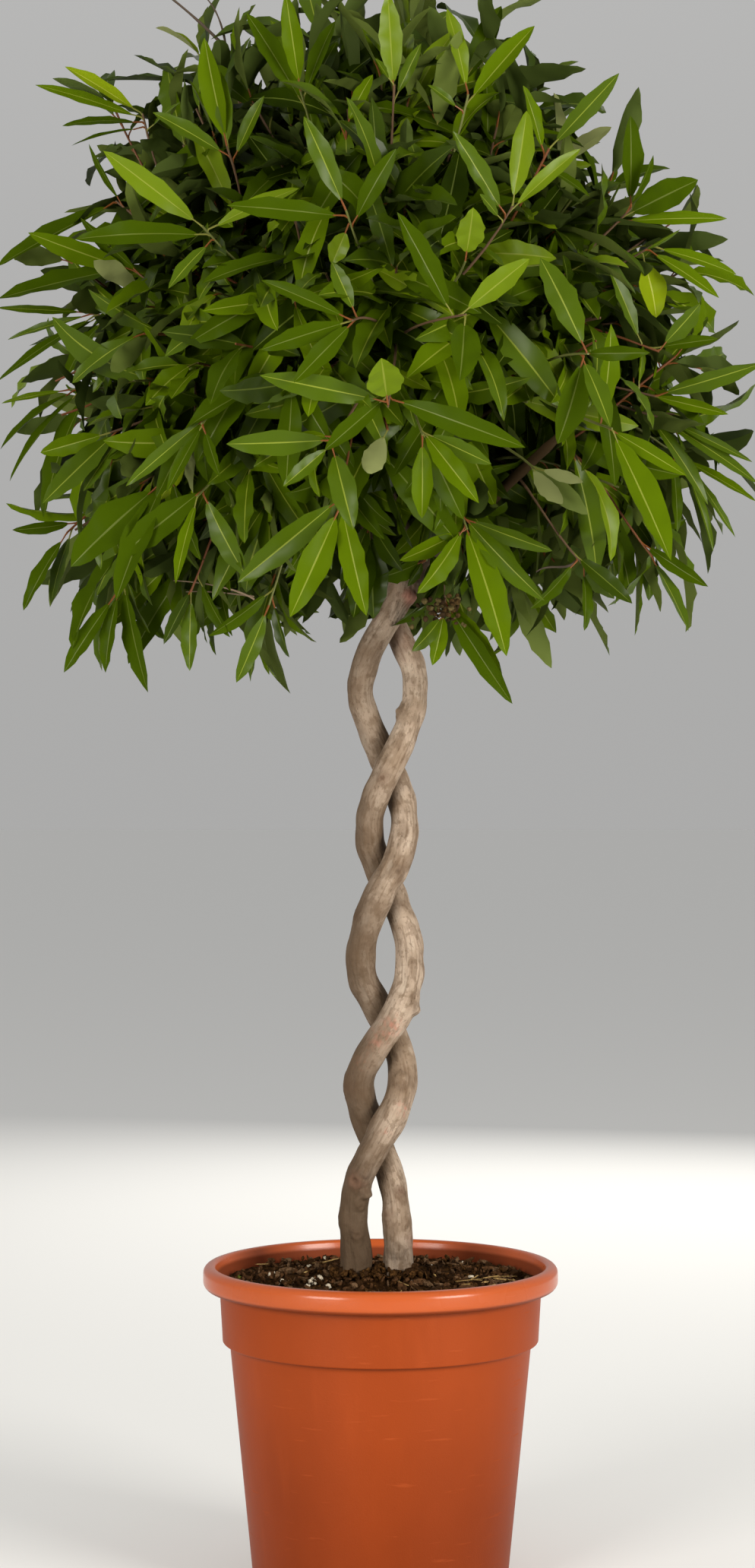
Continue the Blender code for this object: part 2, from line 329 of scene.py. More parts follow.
below = plastic.step(height, COLLAR_FOOT_Z - 0.004, COLLAR_FOOT_Z - 0.0005)
above = plastic.step(height, COLLAR_FOOT_Z - 0.0005, COLLAR_FOOT_Z + 0.001)
painted_shadow_lines = under_rim + below * (1 - above)
colour = plastic.mix(painted_shadow_lines * 0.55, colour, TERRACOTTA_DUST_AND_SHADE)
# The inside of the lip is painted darker: painted shade in the pot's mouth, with some dust.
inside = rim_mask * (1 - plastic.step(reach, LIP_RADIUS - 0.002, LIP_RADIUS - 0.0005))
colour = plastic.mix(inside * 0.82, colour, TERRACOTTA_DUST_AND_SHADE)
plastic.set("Base Color", colour)
plastic.set("Roughness", 0.40 + clouds * 0.10 + scuffs * 0.14 - (rim_mask - inside) * 0.17 + inside * 0.2)
plastic.set("Coat Weight", (rim_mask - inside) * 0.42)
plastic.set("Coat Roughness", 0.19)
plastic.relief(specks * 0.6 + smears * 0.5 + scuffs * 0.5, 0.00012)
piece_from("plastic_pot", pot_shape, [plastic], "pot_plastic", "pot", crease=32)


# Compost. Dark moist peat with chopped bark, filled to just under the rim, drawn up a little
# round the stems, with perlite, straw and a green film of moss where it shows on top.

SOIL_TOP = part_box("soil")[1].z
SOIL_SIDES = 168
SOIL_RINGS = 62
SOIL_GAP = 0.0003
SOIL_EDGE_DROP = 0.0015
HEAP_HEIGHT = 0.0042
HEAP_RADIUS = 0.032
LUMPS = ((0.0022, 38.0, 0), (0.0026, 130.0, 1), (0.0012, 420.0, 0))  # height, fineness and shift
LUMP_SHIFT = Vector((3, 1, 0))
COMPOST_SEED = 4
COVERED = 0.96           # share of the compost's radius that crumbs lie on
CHIPS = 430
CRUMBS = 900
MOSS_TUFTS = 150
rng = np.random.default_rng(COMPOST_SEED)

soil_side = [(radius - SOIL_GAP, z + SOIL_GAP) for radius, z in inner_wall]
(low_radius, low_z), (high_radius, high_z) = soil_side[-2:]
soil_edge_z = SOIL_TOP - SOIL_EDGE_DROP
soil_radius = low_radius + (high_radius - low_radius) * (soil_edge_z - low_z) / (high_z - low_z)


def soil_height(x, y):
    """Height of the compost's bare surface."""
    away = math.hypot(x, y)
    fall = SOIL_EDGE_DROP * (away / soil_radius) ** 2
    heap = HEAP_HEIGHT * math.exp(-(away / HEAP_RADIUS) ** 2)
    spot = Vector((x, y, 0.0))
    rough = sum(rise * noise.noise(spot * fine + LUMP_SHIFT * shift) for rise, fine, shift in LUMPS)
    return SOIL_TOP - fall + heap + rough * min(1.0, (soil_radius - away) * 300 + 0.25)


soil_profile = [(soil_radius * i / SOIL_RINGS, SOIL_TOP) for i in range(SOIL_RINGS + 1)]
soil_profile += soil_side[-2::-1] + [(0.0, FLOOR_THICKNESS + SOIL_GAP)]
soil_shape = turned(soil_profile, SOIL_SIDES)
for vert in soil_shape.verts:
    if vert.co.z > SOIL_TOP - 1e-5:
        vert.co.z = soil_height(vert.co.x, vert.co.y)

PEAT_DARK = (0.0175, 0.0075, 0.0022)
PEAT_LIGHT = (0.078, 0.036, 0.011)
BARK_CHIP = (0.088, 0.041, 0.017)
peat = Finish("peat", PEAT_DARK, 0.92, specular=0.02)
at = peat.node("TexCoord", {}, "Object")
fibres = peat.grain(at, 420.0, (1.0, 0.35, 1.0), 5.0)
patches = peat.grain(at, 90.0, detail=4.0)
peat.set("Base Color", peat.mix(peat.step(fibres, 0.42, 0.72) * patches, PEAT_DARK, PEAT_LIGHT))
peat.set("Roughness", 0.80 + patches * 0.18)
peat.relief(fibres + patches * 0.5, 0.0012)
piece_from("compost", soil_shape, [peat], "compost", "soil", crease=60)


def crumb_template():
    """A rounded lump of a few dozen faces, 1 across, that copies are made from."""
    shape = bmesh.new()
    bmesh.ops.create_cube(shape, size=1.0)
    bmesh.ops.subdivide_edges(shape, edges=shape.edges, cuts=1, use_grid_fill=True)
    for vert in shape.verts:
        vert.co = vert.co.normalized() * (0.5 + 0.16 * noise.noise(vert.co * 2.3))
    return shape


def corners_of(shape):
    """A bmesh template as arrays: corner places, and each face's corners and role."""
    shape.verts.index_update()
    places = np.array([vert.co for vert in shape.verts])
    faces = [[vert.index for vert in face.verts] for face in shape.faces]
    roles = np.array([face.material_index for face in shape.faces])
    shape.free()
    return places, faces, roles


def joined(name, places, faces, kinds):
    """One mesh of many copies of a template: places is copies x corners x 3, and kinds
    gives each face of each copy its material."""
    copies, corners, _ = places.shape
    sizes = np.array([len(face) for face in faces])
    loops = np.concatenate([np.array(face) for face in faces])
    every = (loops[None, :] + corners * np.arange(copies)[:, None]).ravel()
    starts = np.concatenate(([0], np.cumsum(sizes)[:-1]))
    every_start = (starts[None, :] + len(loops) * np.arange(copies)[:, None]).ravel()
    mesh = bpy.data.meshes.new(name)
    mesh.vertices.add(copies * corners)
    mesh.vertices.foreach_set("co", places.astype(np.float32).ravel())
    mesh.loops.add(len(every))
    mesh.loops.foreach_set("vertex_index", every.astype(np.int32))
    mesh.polygons.add(len(every_start))
    mesh.polygons.foreach_set("loop_start", every_start.astype(np.int32))
    mesh.polygons.foreach_set("material_index", kinds.astype(np.int32).ravel())
    mesh.update(calc_edges=True)
    return mesh


def unit(vectors):
    return vectors / np.maximum(np.linalg.norm(vectors, axis=-1, keepdims=True), 1e-9)


def turns(count):
    """Random rotations, as matrices."""
    q = unit(rng.normal(size=(count, 4)))
    w, x, y, z = q.T
    rows = [
        [1 - 2 * (y * y + z * z), 2 * (x * y - w * z), 2 * (x * z + w * y)],
        [2 * (x * y + w * z), 1 - 2 * (x * x + z * z), 2 * (y * z - w * x)],
        [2 * (x * z - w * y), 2 * (y * z + w * x), 1 - 2 * (x * x + y * y)],
    ]
    return np.array(rows).transpose(2, 0, 1)


crumb_corners, crumb_faces, _ = corners_of(crumb_template())


def scatter(name, finishes, spots, sizes, flatness, sink):
    """Lumps of the given sizes lying on the compost, their flat sides roughly down."""
    count = len(spots)
    shape = crumb_corners[None] * sizes[:, None, :]
    shape = shape * (1 + 0.25 * rng.normal(size=(count, len(crumb_corners), 1)).clip(-1, 1))
    swing = turns(count)
    angle = rng.uniform(0, math.tau, count)
    c, s, zero = np.cos(angle), np.sin(angle), np.zeros(count)
    flat = np.array([[c, -s, zero], [s, c, zero], [zero, zero, zero + 1]]).transpose(2, 0, 1)
    blend = flat * flatness + swing * (1 - flatness)
    shape = np.einsum("nij,nvj->nvi", blend, shape)
    ground = np.array([soil_height(x, y) for x, y in spots])
    lift = ground + sizes[:, 2] * (0.5 - sink)
    shape += np.concatenate([spots, lift[:, None]], 1)[:, None]
    kinds = np.repeat(rng.integers(0, len(finishes), count)[:, None], len(crumb_faces), 1)
    piece_of(name, joined(name, shape, crumb_faces, kinds), finishes, "compost", crease=50)


def round_at(angle, radius):
    """Places on the level, by bearing and distance from the middle."""
    return np.stack([radius * np.cos(angle), radius * np.sin(angle)], 1)


def spots_over(count):
    """Random places on the compost, clear of the pot's wall."""
    radius = soil_radius * np.sqrt(rng.uniform(0.0, COVERED**2, count))
    return round_at(rng.uniform(0, math.tau, count), radius)


def lump_sizes(count, low, high, least=0.7, most=1.2):
    """Sizes of lumps that are longer one way than another, by the last two."""
    return rng.uniform(low, high, (count, 1)) * rng.uniform(least, most, (count, 3))


def speckled(name, colour, other, roughness, scale=500.0, depth=0.0004):
    """A rough finish that wanders between two colours."""
    finish = Finish(name, colour, roughness, specular=0.03)
    place = finish.node("TexCoord", {}, "Object")
    speck = finish.grain(place, scale, detail=4.0)
    finish.set("Base Color", finish.mix(finish.step(speck, 0.35, 0.65), colour, other))
    finish.relief(speck, depth)
    return finish


chip_finishes = [speckled(*row) for row in (
    ("brown bark chip", BARK_CHIP, (0.045, 0.021, 0.009), 0.85),
    ("dark bark chip", (0.032, 0.015, 0.006), PEAT_DARK, 0.88),
    ("pale bark chip", (0.150, 0.088, 0.046), (0.05, 0.026, 0.012), 0.9),
)]
peat_crumb = speckled("peat crumb", PEAT_DARK, PEAT_LIGHT, 0.95)
crumb_finishes = [chip_finishes[1], peat_crumb, chip_finishes[0]]
scatter("bark_chips", chip_finishes, spots_over(CHIPS), rng.uniform(
    (0.0060, 0.0034, 0.0024), (0.0165, 0.0085, 0.0058), (CHIPS, 3)), 0.45, 0.10)
scatter("peat_crumbs", crumb_finishes, spots_over(CRUMBS), lump_sizes(
    CRUMBS, 0.0016, 0.0052, 0.7, 1.3), 0.2, 0.05)

PERLITE_PATCHES = {  # place, spread and number of grains
    (-0.0495, -0.0220): (0.0036, 7),
    (-0.0440, -0.0440): (0.0022, 3),
    (-0.0560, -0.0360): (0.0020, 2),
    (-0.0550, 0.0620): (0.0020, 2),
    (-0.0840, 0.0120): (0.0030, 2),
    (-0.0780, -0.0250): (0.0024, 2),
    (0.0680, -0.0170): (0.0020, 1),
    (0.0550, 0.0800): (0.0120, 2),
    (-0.0300, 0.0850): (0.0100, 2),
}
perlite = speckled("perlite", (0.60, 0.53, 0.41), (0.34, 0.28, 0.20), 0.85, 900.0, 0.0005)
grains = np.concatenate([
    rng.normal(middle, spread, (count, 2)) for middle, (spread, count) in PERLITE_PATCHES.items()
])
scatter("perlite_grains", [perlite], grains, lump_sizes(
    len(grains), 0.0026, 0.0064, 0.60, 1.25), 0.3, -0.30)

STRAW_PATCH = ((0.088, -0.044), 0.016)  # place and spread
STRAW_REACH = 0.95       # share of the compost's radius that straw lies on
straw = speckled("straw", (0.42, 0.28, 0.10), (0.24, 0.15, 0.06), 0.75)
straw_spots = np.concatenate([
    rng.normal(STRAW_PATCH[0], STRAW_PATCH[1], (16, 2)),
    np.stack([rng.uniform(-0.02, 0.06, 9), rng.uniform(-0.094, -0.080, 9)], 1),
    spots_over(14),
])
straw_spots = straw_spots[np.linalg.norm(straw_spots, axis=1) < soil_radius * STRAW_REACH]
scatter("straw_bits", [straw], straw_spots, rng.uniform(
    (0.009, 0.0010, 0.0009), (0.024, 0.0020, 0.0015), (len(straw_spots), 3)), 0.85, -2.6)

moss_angle = np.radians(rng.normal(226, 16, MOSS_TUFTS))
moss_radius = soil_radius * rng.uniform(0.86, 0.975, MOSS_TUFTS)
moss = speckled("moss", (0.085, 0.100, 0.014), (0.036, 0.046, 0.008), 0.9)
moss_sizes = np.repeat(rng.uniform(0.0018, 0.0050, (MOSS_TUFTS, 1)), 3, 1)
scatter("moss_tufts", [moss], round_at(moss_angle, moss_radius), moss_sizes, 0.2, -0.3)


# Stems. Two young bay trunks wound round each other by hand while they were supple: smooth
# grey-beige bark with fine lengthwise cracks, healed cuts and a few reddish stains.

STEM_SIDES = 76
RING_SPACING = 0.0014
SECTION_SPACING = 0.0115  # between the planes that cut a packed stem
END_MARGIN = 0.0008     # between the first of those planes and the stem's foot
HEAD_MARGIN = 0.006     # left between the last of those planes and the stem's head
FOOT_SUNK = 0.004       # how far a foot goes into the compost
HEAD_ROUNDING = 0.006   # height over which a stem's head rounds off
SWELLING = 0.00165      # relief of the broad swellings
RIPPLE = 0.00040        # and of the bark's long ripples
CRACK_DEPTH = 0.00060
CRACK_WIDTH = 0.13      # share of the noise that is a crack
CARVING = 0.00045       # relief of rough bark
FOOT_FLARE = 0.0036     # how much the foot swells where it meets the compost
FLARE_HEIGHT = 0.019
SHADED_FROM = 0.012     # painted shade: bark is darker on its -X side, from this X
SHADED_OVER = 0.030     # and over this width
SHADED_HEIGHTS = (0.56, 0.72)  # the painted shade is weaker above the first of these
SHADED_SHARES = (1.0, 0.55)
TUCKED_REACH = 0.011    # and a painted shadow darkens bark within this of the other stem
TUCKED_SHADE = 1.3
# Scars: height, bearing round the stem in degrees, size, rise of its lip, depth of its middle and
# how red it is.
# The right stem's entry at 0.744 is painted shade rather than a scar: a dark patch under its head where it
# passes behind the left stem.
SCARS_AND_SHADE = {
    "stem_left": (
        (0.3185, -105, 0.006, 0.0026, 0.004, 1.2), (0.325, -80, 0.0046, 0.0028, 0.0, 0.0),
        (0.307, -42, 0.0044, 0.005, 0.0, 0.0), (0.296, -60, 0.004, 0.0018, 0.0016, 0.0),
        (0.274, -80, 0.0046, 0.0042, 0.003, 0.1), (0.256, -60, 0.005, 0.0022, 0.0, 0.0),
        (0.286, -150, 0.008, 0.0014, 0.0, 0.0), (0.396, -95, 0.006, 0.0014, 0.0, 0.0),
        (0.56, -70, 0.005, 0.0014, 0.0008, 0.0), (0.526, 200, 0.0048, 0.0008, 0.0007, 0.1),
        (0.706, 185, 0.005, 0.0006, 0.0004, 0.0), (0.438, 80, 0.005, 0.0012, 0.0008, 0.2),
        (0.776, -40, 0.0056, 0.0044, 0.0, 1.6), (0.642, 100, 0.0044, 0.0012, 0.0008, 0.1),
    ),
    "stem_right": (
        (0.6345, -95, 0.0044, 0.0005, 0.0011, 0.1), (0.453, -12, 0.0044, 0.0046, 0.0, 0.0),
        (0.46, -30, 0.006, 0.0014, 0.0, 0.0), (0.27, -20, 0.0055, 0.002, 0.0018, 0.2),
        (0.29, -130, 0.005, 0.0026, 0.0012, 0.1), (0.261, -95, 0.0055, 0.0024, 0.0, 0.0),
        (0.308, -60, 0.0042, 0.0014, 0.001, 0.1), (0.39, -140, 0.008, 0.0015, 0.001, 0.3),
        # The second of these, at 0.744, is painted shade.
        (0.686, -165, 0.0046, 0.0034, 0.0, 0.0), (0.744, -125, 0.0125, 0.0, 0.0003, 0.25),
        (0.54, 60, 0.0046, 0.0012, 0.0006, 0.2), (0.36, 110, 0.005, 0.001, 0.0008, 0.3),
    ),
}
# Stains: height, bearing and size.
STAINS = {
    "stem_left": (
        (0.3742, -60, 0.0055), (0.356, -80, 0.0035), (0.32, -120, 0.0045), (0.37, 120, 0.005),
    ),
    "stem_right": (
        (0.429, -115, 0.0085), (0.4385, -85, 0.0085), (0.41, -125, 0.007),
    ),
}
# Rough bark: height, bearing and size.
ROUGH = {
    "stem_left": (
        (0.52, -120, 0.012),
    ),
    "stem_right": (
        (0.672, -70, 0.016),
    ),
}


def sections(node, start, stop, count):
    """Middle and radius of a packed limb where planes across a line cut it, one row each."""
    axis = (stop - start).normalized()
    shape = bmesh.new()
    shape.from_mesh(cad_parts[node].data)
    rings = []
    for share in np.linspace(0.0, 1.0, count):
        cut = bmesh.ops.bisect_plane(
            shape, geom=shape.verts[:] + shape.edges[:] + shape.faces[:], dist=1e-7,
            plane_co=start.lerp(stop, share), plane_no=axis,
        )["geom_cut"]
        rings.append(np.array([part.co[:] for part in cut if isinstance(part, bmesh.types.BMVert)]))
    shape.free()
    middles = np.array([ring.mean(0) for ring in rings])
    along = unit(np.gradient(middles, axis=0))
    radii = []
    for ring, middle, way in zip(rings, middles, along):
        arm = ring - middle
        radii.append(np.linalg.norm(arm - np.outer(arm @ way, way), axis=1).max())
    return np.column_stack([middles, radii])


def smooth_run(rows, count):
    """Rows read off a smooth curve through the given rows."""
    ends = np.vstack([2 * rows[0] - rows[1], rows, 2 * rows[-1] - rows[-2]])
    t = np.linspace(0, len(rows) - 1, count)
    i = np.minimum(t.astype(int), len(rows) - 2)
    f = (t - i)[:, None]
    a, b, c, d = (ends[i + k] for k in range(4))
    return 0.5 * (2 * b + (c - a) * f + (2 * a - 5 * b + 4 * c - d) * f**2 + (3 * b - a - 3 * c + d) * f**3)


def evened(rows):
    """The rows with small steps between sections smoothed out, ends kept."""
    calm = rows.copy()
    calm[1:-1] = (rows[:-2] + 2 * rows[1:-1] + rows[2:]) / 4
    return calm


def upright_tube(sides, rings):
    """A closed tube of unit radius and length along +Z."""
    shape = bmesh.new()
    bmesh.ops.create_cone(shape, cap_ends=True, segments=sides, radius1=1.0, radius2=1.0, depth=1.0)
    uprights = [e for e in shape.edges if abs(e.verts[0].co.z - e.verts[1].co.z) > 0.5]
    bmesh.ops.subdivide_edges(shape, edges=uprights, cuts=rings - 2)
    return shape


def limb_shape(run, sides, relief):
    """A tube along a run of (x, y, z, radius) rows, with its surface moved by relief."""
    shape = upright_tube(sides, len(run))
    straight_place = shape.verts.layers.float_vector.new("straightened")
    marks = {name: shape.verts.layers.float.new(name) for name in ("scar_and_shade", "red", "shaded")}
    ways = unit(np.gradient(run[:, :3], axis=0))
    flat = np.array((0.0, 1.0, 0.0)) if abs(ways[:, 1]).mean() < 0.7 else np.array((1.0, 0.0, 0.0))
    sides_way = unit(np.cross(flat, ways))
    others_way = np.cross(ways, sides_way)
    lengths = np.concatenate(([0], np.cumsum(np.linalg.norm(np.diff(run[:, :3], axis=0), axis=1))))
    for vert in shape.verts:
        ring = round((vert.co.z + 0.5) * (len(run) - 1))
        x, y = vert.co.x, vert.co.y
        out = Vector(sides_way[ring] * x + others_way[ring] * y)
        middle, radius = Vector(run[ring, :3]), float(run[ring, 3])
        unrolled = Vector((radius * x, radius * y, float(lengths[ring])))
        rise, values = relief(middle, out, radius, unrolled, float(lengths[ring]), float(lengths[-1]))
        vert.co = middle + out * (radius + rise)
        vert[straight_place] = unrolled
        for name, value in values.items():
            vert[marks[name]] = value
    return shape


def mark_place(run, height, bearing):
    """Where a bearing round a stem meets its surface at a height."""
    row = run[np.abs(run[:, 2] - height).argmin()]
    angle = math.radians(bearing)
    return Vector(row[:3]) + Vector((math.cos(angle), math.sin(angle), 0.0)) * float(row[3])


def stretched(unrolled, across, along):
    """A place on unrolled bark, scaled to read noise that is longer one way than another."""
    return Vector((unrolled.x * across, unrolled.y * across, unrolled.z * along))


def stem_relief(stem, run, other_run):
    """The relief of one stem's bark: swellings, lengthwise cracks, scars and its foot."""
    other_tree = KDTree(len(other_run))
    for number, row in enumerate(other_run):
        other_tree.insert(row[:3], number)
    other_tree.balance()
    scars_and_shade, stains, rough = (
        [(mark_place(run, height, bearing), *rest) for height, bearing, *rest in marks[stem]]
        for marks in (SCARS_AND_SHADE, STAINS, ROUGH)
    )
    shift = Vector((0.0, 0.0, 5.0 if stem == "stem_left" else 9.0))

    def relief(middle, out, radius, unrolled, far, length):
        place = middle + out * radius
        swelling = SWELLING * noise.noise(place * 58.0 + shift)
        ripple = RIPPLE * noise.noise(stretched(unrolled, 150, 45) + shift)
        crack = abs(noise.noise(stretched(unrolled, 420, 34) + shift))
        patchy = 0.35 + noise.noise(place * 60.0 + shift)
        crack_depth = CRACK_DEPTH * max(0.0, 1 - crack / CRACK_WIDTH) * patchy
        scar_and_shade = red = 0.0
        rise = swelling + ripple - max(0.0, crack_depth)
        for spot, size, lip, hollow, redness in scars_and_shade:
            near = (place - spot).length / size
            if near < 3:
                near *= 1 + 0.45 * noise.noise(place * 240.0)
                rise += lip * math.exp(-near**2) - hollow * math.exp(-(2.3 * near) ** 2)
                sunk = 0.9 if hollow else -90.0 * max(0.0, lip - 0.0030)
                scar_and_shade += sunk * math.exp(-(1.9 * near) ** 2) + 0.35 * math.exp(-((near - 1.0) * 3) ** 2)
                red += redness * math.exp(-near**2)
        for spot, size in stains:
            near = (place - spot).length / size
            patchy = 0.15 + 2.0 * noise.noise(place * 420.0)
            red += max(0.0, patchy) * math.exp(-near**2)
        for spot, size in rough:
            near = (place - spot).length / size
            carved = noise.noise(stretched(unrolled, 500, 520))
            rise += CARVING * carved * math.exp(-near**2)
            scar_and_shade += max(0.0, -carved) * 0.9 * math.exp(-near**2)
        flare = math.exp(-far / FLARE_HEIGHT)
        lobes = 0.5 + 1.4 * noise.noise(out * 2.3 + shift)
        rise += FOOT_FLARE * flare * max(0.0, lobes)
        from_top = max(0.0, (length - far) / HEAD_ROUNDING)
        if from_top < 1:
            rise -= radius * (1 - math.sqrt(1 - (1 - from_top) ** 2)) * 0.75
        # Painted shade: darker on the -X side, less so higher up, with a painted shadow where the bark
        # faces the other stem close by.
        shaded = max(0.0, (SHADED_FROM - place.x) / SHADED_OVER)
        shaded *= float(np.interp(place.z, SHADED_HEIGHTS, SHADED_SHARES))
        nearest, number, span = other_tree.find(place)
        facing = max(0.0, out.dot(nearest - place) / span)
        gap = max(0.0, span - other_run[number, 3])
        shaded += TUCKED_SHADE * facing * math.exp(-(gap / TUCKED_REACH) ** 2)
        return rise, {"scar_and_shade": min(1.0, scar_and_shade), "red": min(1.0, red), "shaded": min(1.0, shaded)}

    return relief


BARK_PALE = (0.385, 0.300, 0.226)
BARK_TAN = (0.205, 0.143, 0.094)
BARK_BROWN = (0.108, 0.065, 0.036)
BARK_SHADED = (0.077, 0.048, 0.027)
BARK_CRACK = (0.056, 0.032, 0.018)
BARK_ASH = (0.50, 0.415, 0.325)
PEAT_SPLASH = (0.020, 0.012, 0.006)
BARK_OLIVE = (0.052, 0.037, 0.020)
BARK_RED = (0.45, 0.175, 0.125)


def bark_finish(name, foot_shade, foot_colour):
    """Bay bark: streaks and cracks follow the stem, and the foot takes a colour of its own."""
    bark = Finish(name, BARK_TAN, 0.78, specular=0.15)
    run = bark.node("Attribute", {}, "Vector", attribute_name="straightened")
    at = bark.node("TexCoord", {}, "Object")
    marks = {m: bark.node("Attribute", {}, "Fac", attribute_name=m) for m in ("scar_and_shade", "red", "shaded")}
    broad = bark.grain(at, 34.0, detail=3.0)
    streaks = bark.grain(run, 430.0, (1.0, 1.0, 0.075), 5.0)
    fine = bark.grain(run, 1500.0, (1.0, 1.0, 0.16), 3.0)
    bands = bark.grain(run, 160.0, (0.35, 0.35, 1.0), 4.0)
    flecks = bark.grain(run, 700.0, (1.0, 1.0, 0.5), 2.0)
    scabs = bark.grain(run, 290.0, (1.0, 1.0, 0.6), 4.0)
    colour = bark.mix(bark.step(broad, 0.30, 0.70), BARK_TAN, BARK_PALE)
    worn = bark.grain(run, 105.0, (1.0, 1.0, 0.45), 6.0)
    for cloud, low, high, share, tint in (
        (worn, 0.51, 0.60, 0.48, BARK_BROWN),
        (worn, 0.43, 0.35, 0.30, BARK_ASH),
        (scabs, 0.55, 0.61, 0.42, BARK_BROWN),
        (streaks, 0.52, 0.66, 0.46, BARK_BROWN),
        (bands, 0.60, 0.74, 0.30, BARK_BROWN),
        (flecks, 0.64, 0.72, 0.50, BARK_CRACK),
        (fine, 0.60, 0.75, 0.28, BARK_CRACK),
    ):
        colour = bark.mix(bark.step(cloud, low, high) * share, colour, tint)
    height = bark.node("SeparateXYZ", {0: at}, "Z")
    foot = 1 - bark.step(height, 0.262, 0.325)
    colour = bark.mix(foot * foot_shade, colour, foot_colour)
    splash = 1 - bark.step(height + broad * 0.012 + scabs * 0.008, 0.2660, 0.2900)
    colour = bark.mix(splash * (0.25 + 0.75 * foot_shade), colour, PEAT_SPLASH)
    # The shaded mark paints shade and shadow in BARK_SHADED.
    for mark, share, tint in (
        ("scar_and_shade", 0.75, BARK_CRACK), ("scar_and_shade", -0.9, BARK_ASH),
        ("red", 0.55, BARK_RED), ("shaded", 0.86, BARK_SHADED),
    ):
        colour = bark.mix(marks[mark] * share, colour, tint)
    bark.set("Base Color", colour)
    bark.set("Roughness", 0.68 + streaks * 0.2)
    bark.relief(streaks * 0.9 + fine * 0.3 + bands * 0.4 + scabs + worn * 1.5, 0.0011)
    return bark


stem_barks = {
    "stem_left": bark_finish("left stem bark", 0.92, BARK_OLIVE),
    "stem_right": bark_finish("right stem bark", 0.13, BARK_BROWN),
}
stem_runs = {}
for stem in stem_barks:
    low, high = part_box(stem)
    start = Vector((0.0, 0.0, low.z + END_MARGIN))
    stop = Vector((0.0, 0.0, high.z - HEAD_MARGIN))
    rows = evened(sections(stem, start, stop, round((stop.z - start.z) / SECTION_SPACING)))
    grain_way = unit(rows[-1, :3] - rows[-2, :3])
    rows = np.vstack([rows, np.append(rows[-1, :3] + grain_way * HEAD_MARGIN, rows[-1, 3])])
    rows[0, 2] = SOIL_TOP - FOOT_SUNK
    stem_runs[stem] = smooth_run(rows, round((high.z - low.z) / RING_SPACING))
stem_heads = {stem: run[-1] for stem, run in stem_runs.items()}
stem_feet = {stem: run[0, :2] for stem, run in stem_runs.items()}
for stem, other in itertools.permutations(stem_barks):
    shape = limb_shape(stem_runs[stem], STEM_SIDES, stem_relief(stem, stem_runs[stem], stem_runs[other]))
    piece_from(stem.replace("stem_", "") + "_trunk", shape, [stem_barks[stem]], "bark", stem, crease=60)


# Heaped crumbs. Peat crumbs and dark bits of bark that watering has drawn up against the
# stems' feet, where they hide the line at which each stem enters the compost.

HEAPED_CRUMBS = 330
HEAP_BAND = (0.0110, 0.0250)  # how far from a stem's middle the crumbs lie
heap_turn = rng.uniform(0, math.tau, HEAPED_CRUMBS)
heap_reach = rng.triangular(HEAP_BAND[0], HEAP_BAND[0], HEAP_BAND[1], HEAPED_CRUMBS)
heap_middles = np.array([stem_feet[stem] for stem in rng.choice(list(stem_feet), HEAPED_CRUMBS)])
heap_spots = heap_middles + round_at(heap_turn, heap_reach)
heap_sizes = lump_sizes(HEAPED_CRUMBS, 0.0026, 0.0085, 0.5, 1.2)
scatter("heaped_crumbs", [chip_finishes[1], peat_crumb], heap_spots, heap_sizes, 0.15, -0.25)


# Boughs. The trunks were cut back at the head, and six shoots let grow on from there into
# main boughs, each with a swollen collar where it leaves the trunk.

BOUGH_SIDES = 28
BOUGH_RING_SPACING = 0.0012
COLLAR_RUN = 0.007      # how far a bough starts inside the trunk's head
COLLAR_SWELL = 0.35     # of its radius
COLLAR_LENGTH = 0.010
END_CORNERS = 12        # of a packed bough, in each of its ends
END_SHARE = 0.06        # of a packed bough, left uncut at each end
BOUGHS = {
    "bough_front": "stem_left",
    "bough_right": "stem_left",
    "bough_back_right": "stem_left",
    "bough_leader": "stem_right",
    "bough_back_left": "stem_right",
    "bough_left": "stem_right",
}
LIMB_BROWN = (0.105, 0.068, 0.038)
LIMB_DARK = (0.040, 0.024, 0.013)


def limb_finish():
    bark = Finish("limb bark", LIMB_BROWN, 0.8, specular=0.3)
    run = bark.node("Attribute", {}, "Vector", attribute_name="straightened")
    streaks = bark.grain(run, 700.0, (1.0, 1.0, 0.12), 4.0)
    rings = bark.grain(run, 420.0, (0.3, 0.3, 1.0), 3.0)
    colour = bark.mix(bark.step(streaks, 0.40, 0.72) * 0.7, LIMB_BROWN, LIMB_DARK)
    colour = bark.mix(bark.step(rings, 0.60, 0.75) * 0.4, colour, (0.17, 0.12, 0.07))
    bark.set("Base Color", colour)
    bark.set("Roughness", 0.7 + streaks * 0.2)
    bark.relief(streaks + rings * 0.5, 0.0006)
    return bark


def bough_relief(seed):
    shift = Vector((seed * 3.1, 0.0, 0.0))

    def relief(middle, out, radius, unrolled, far, length):
        node_ring = 0.00035 * max(0.0, noise.noise(Vector((0.0, 0.0, far * 90)) + shift))
        collar = COLLAR_SWELL * radius * math.exp(-(far / COLLAR_LENGTH) ** 2)
        rise = RIPPLE * noise.noise(stretched(unrolled, 300, 70) + shift) + node_ring + collar
        return rise, {}

    return relief


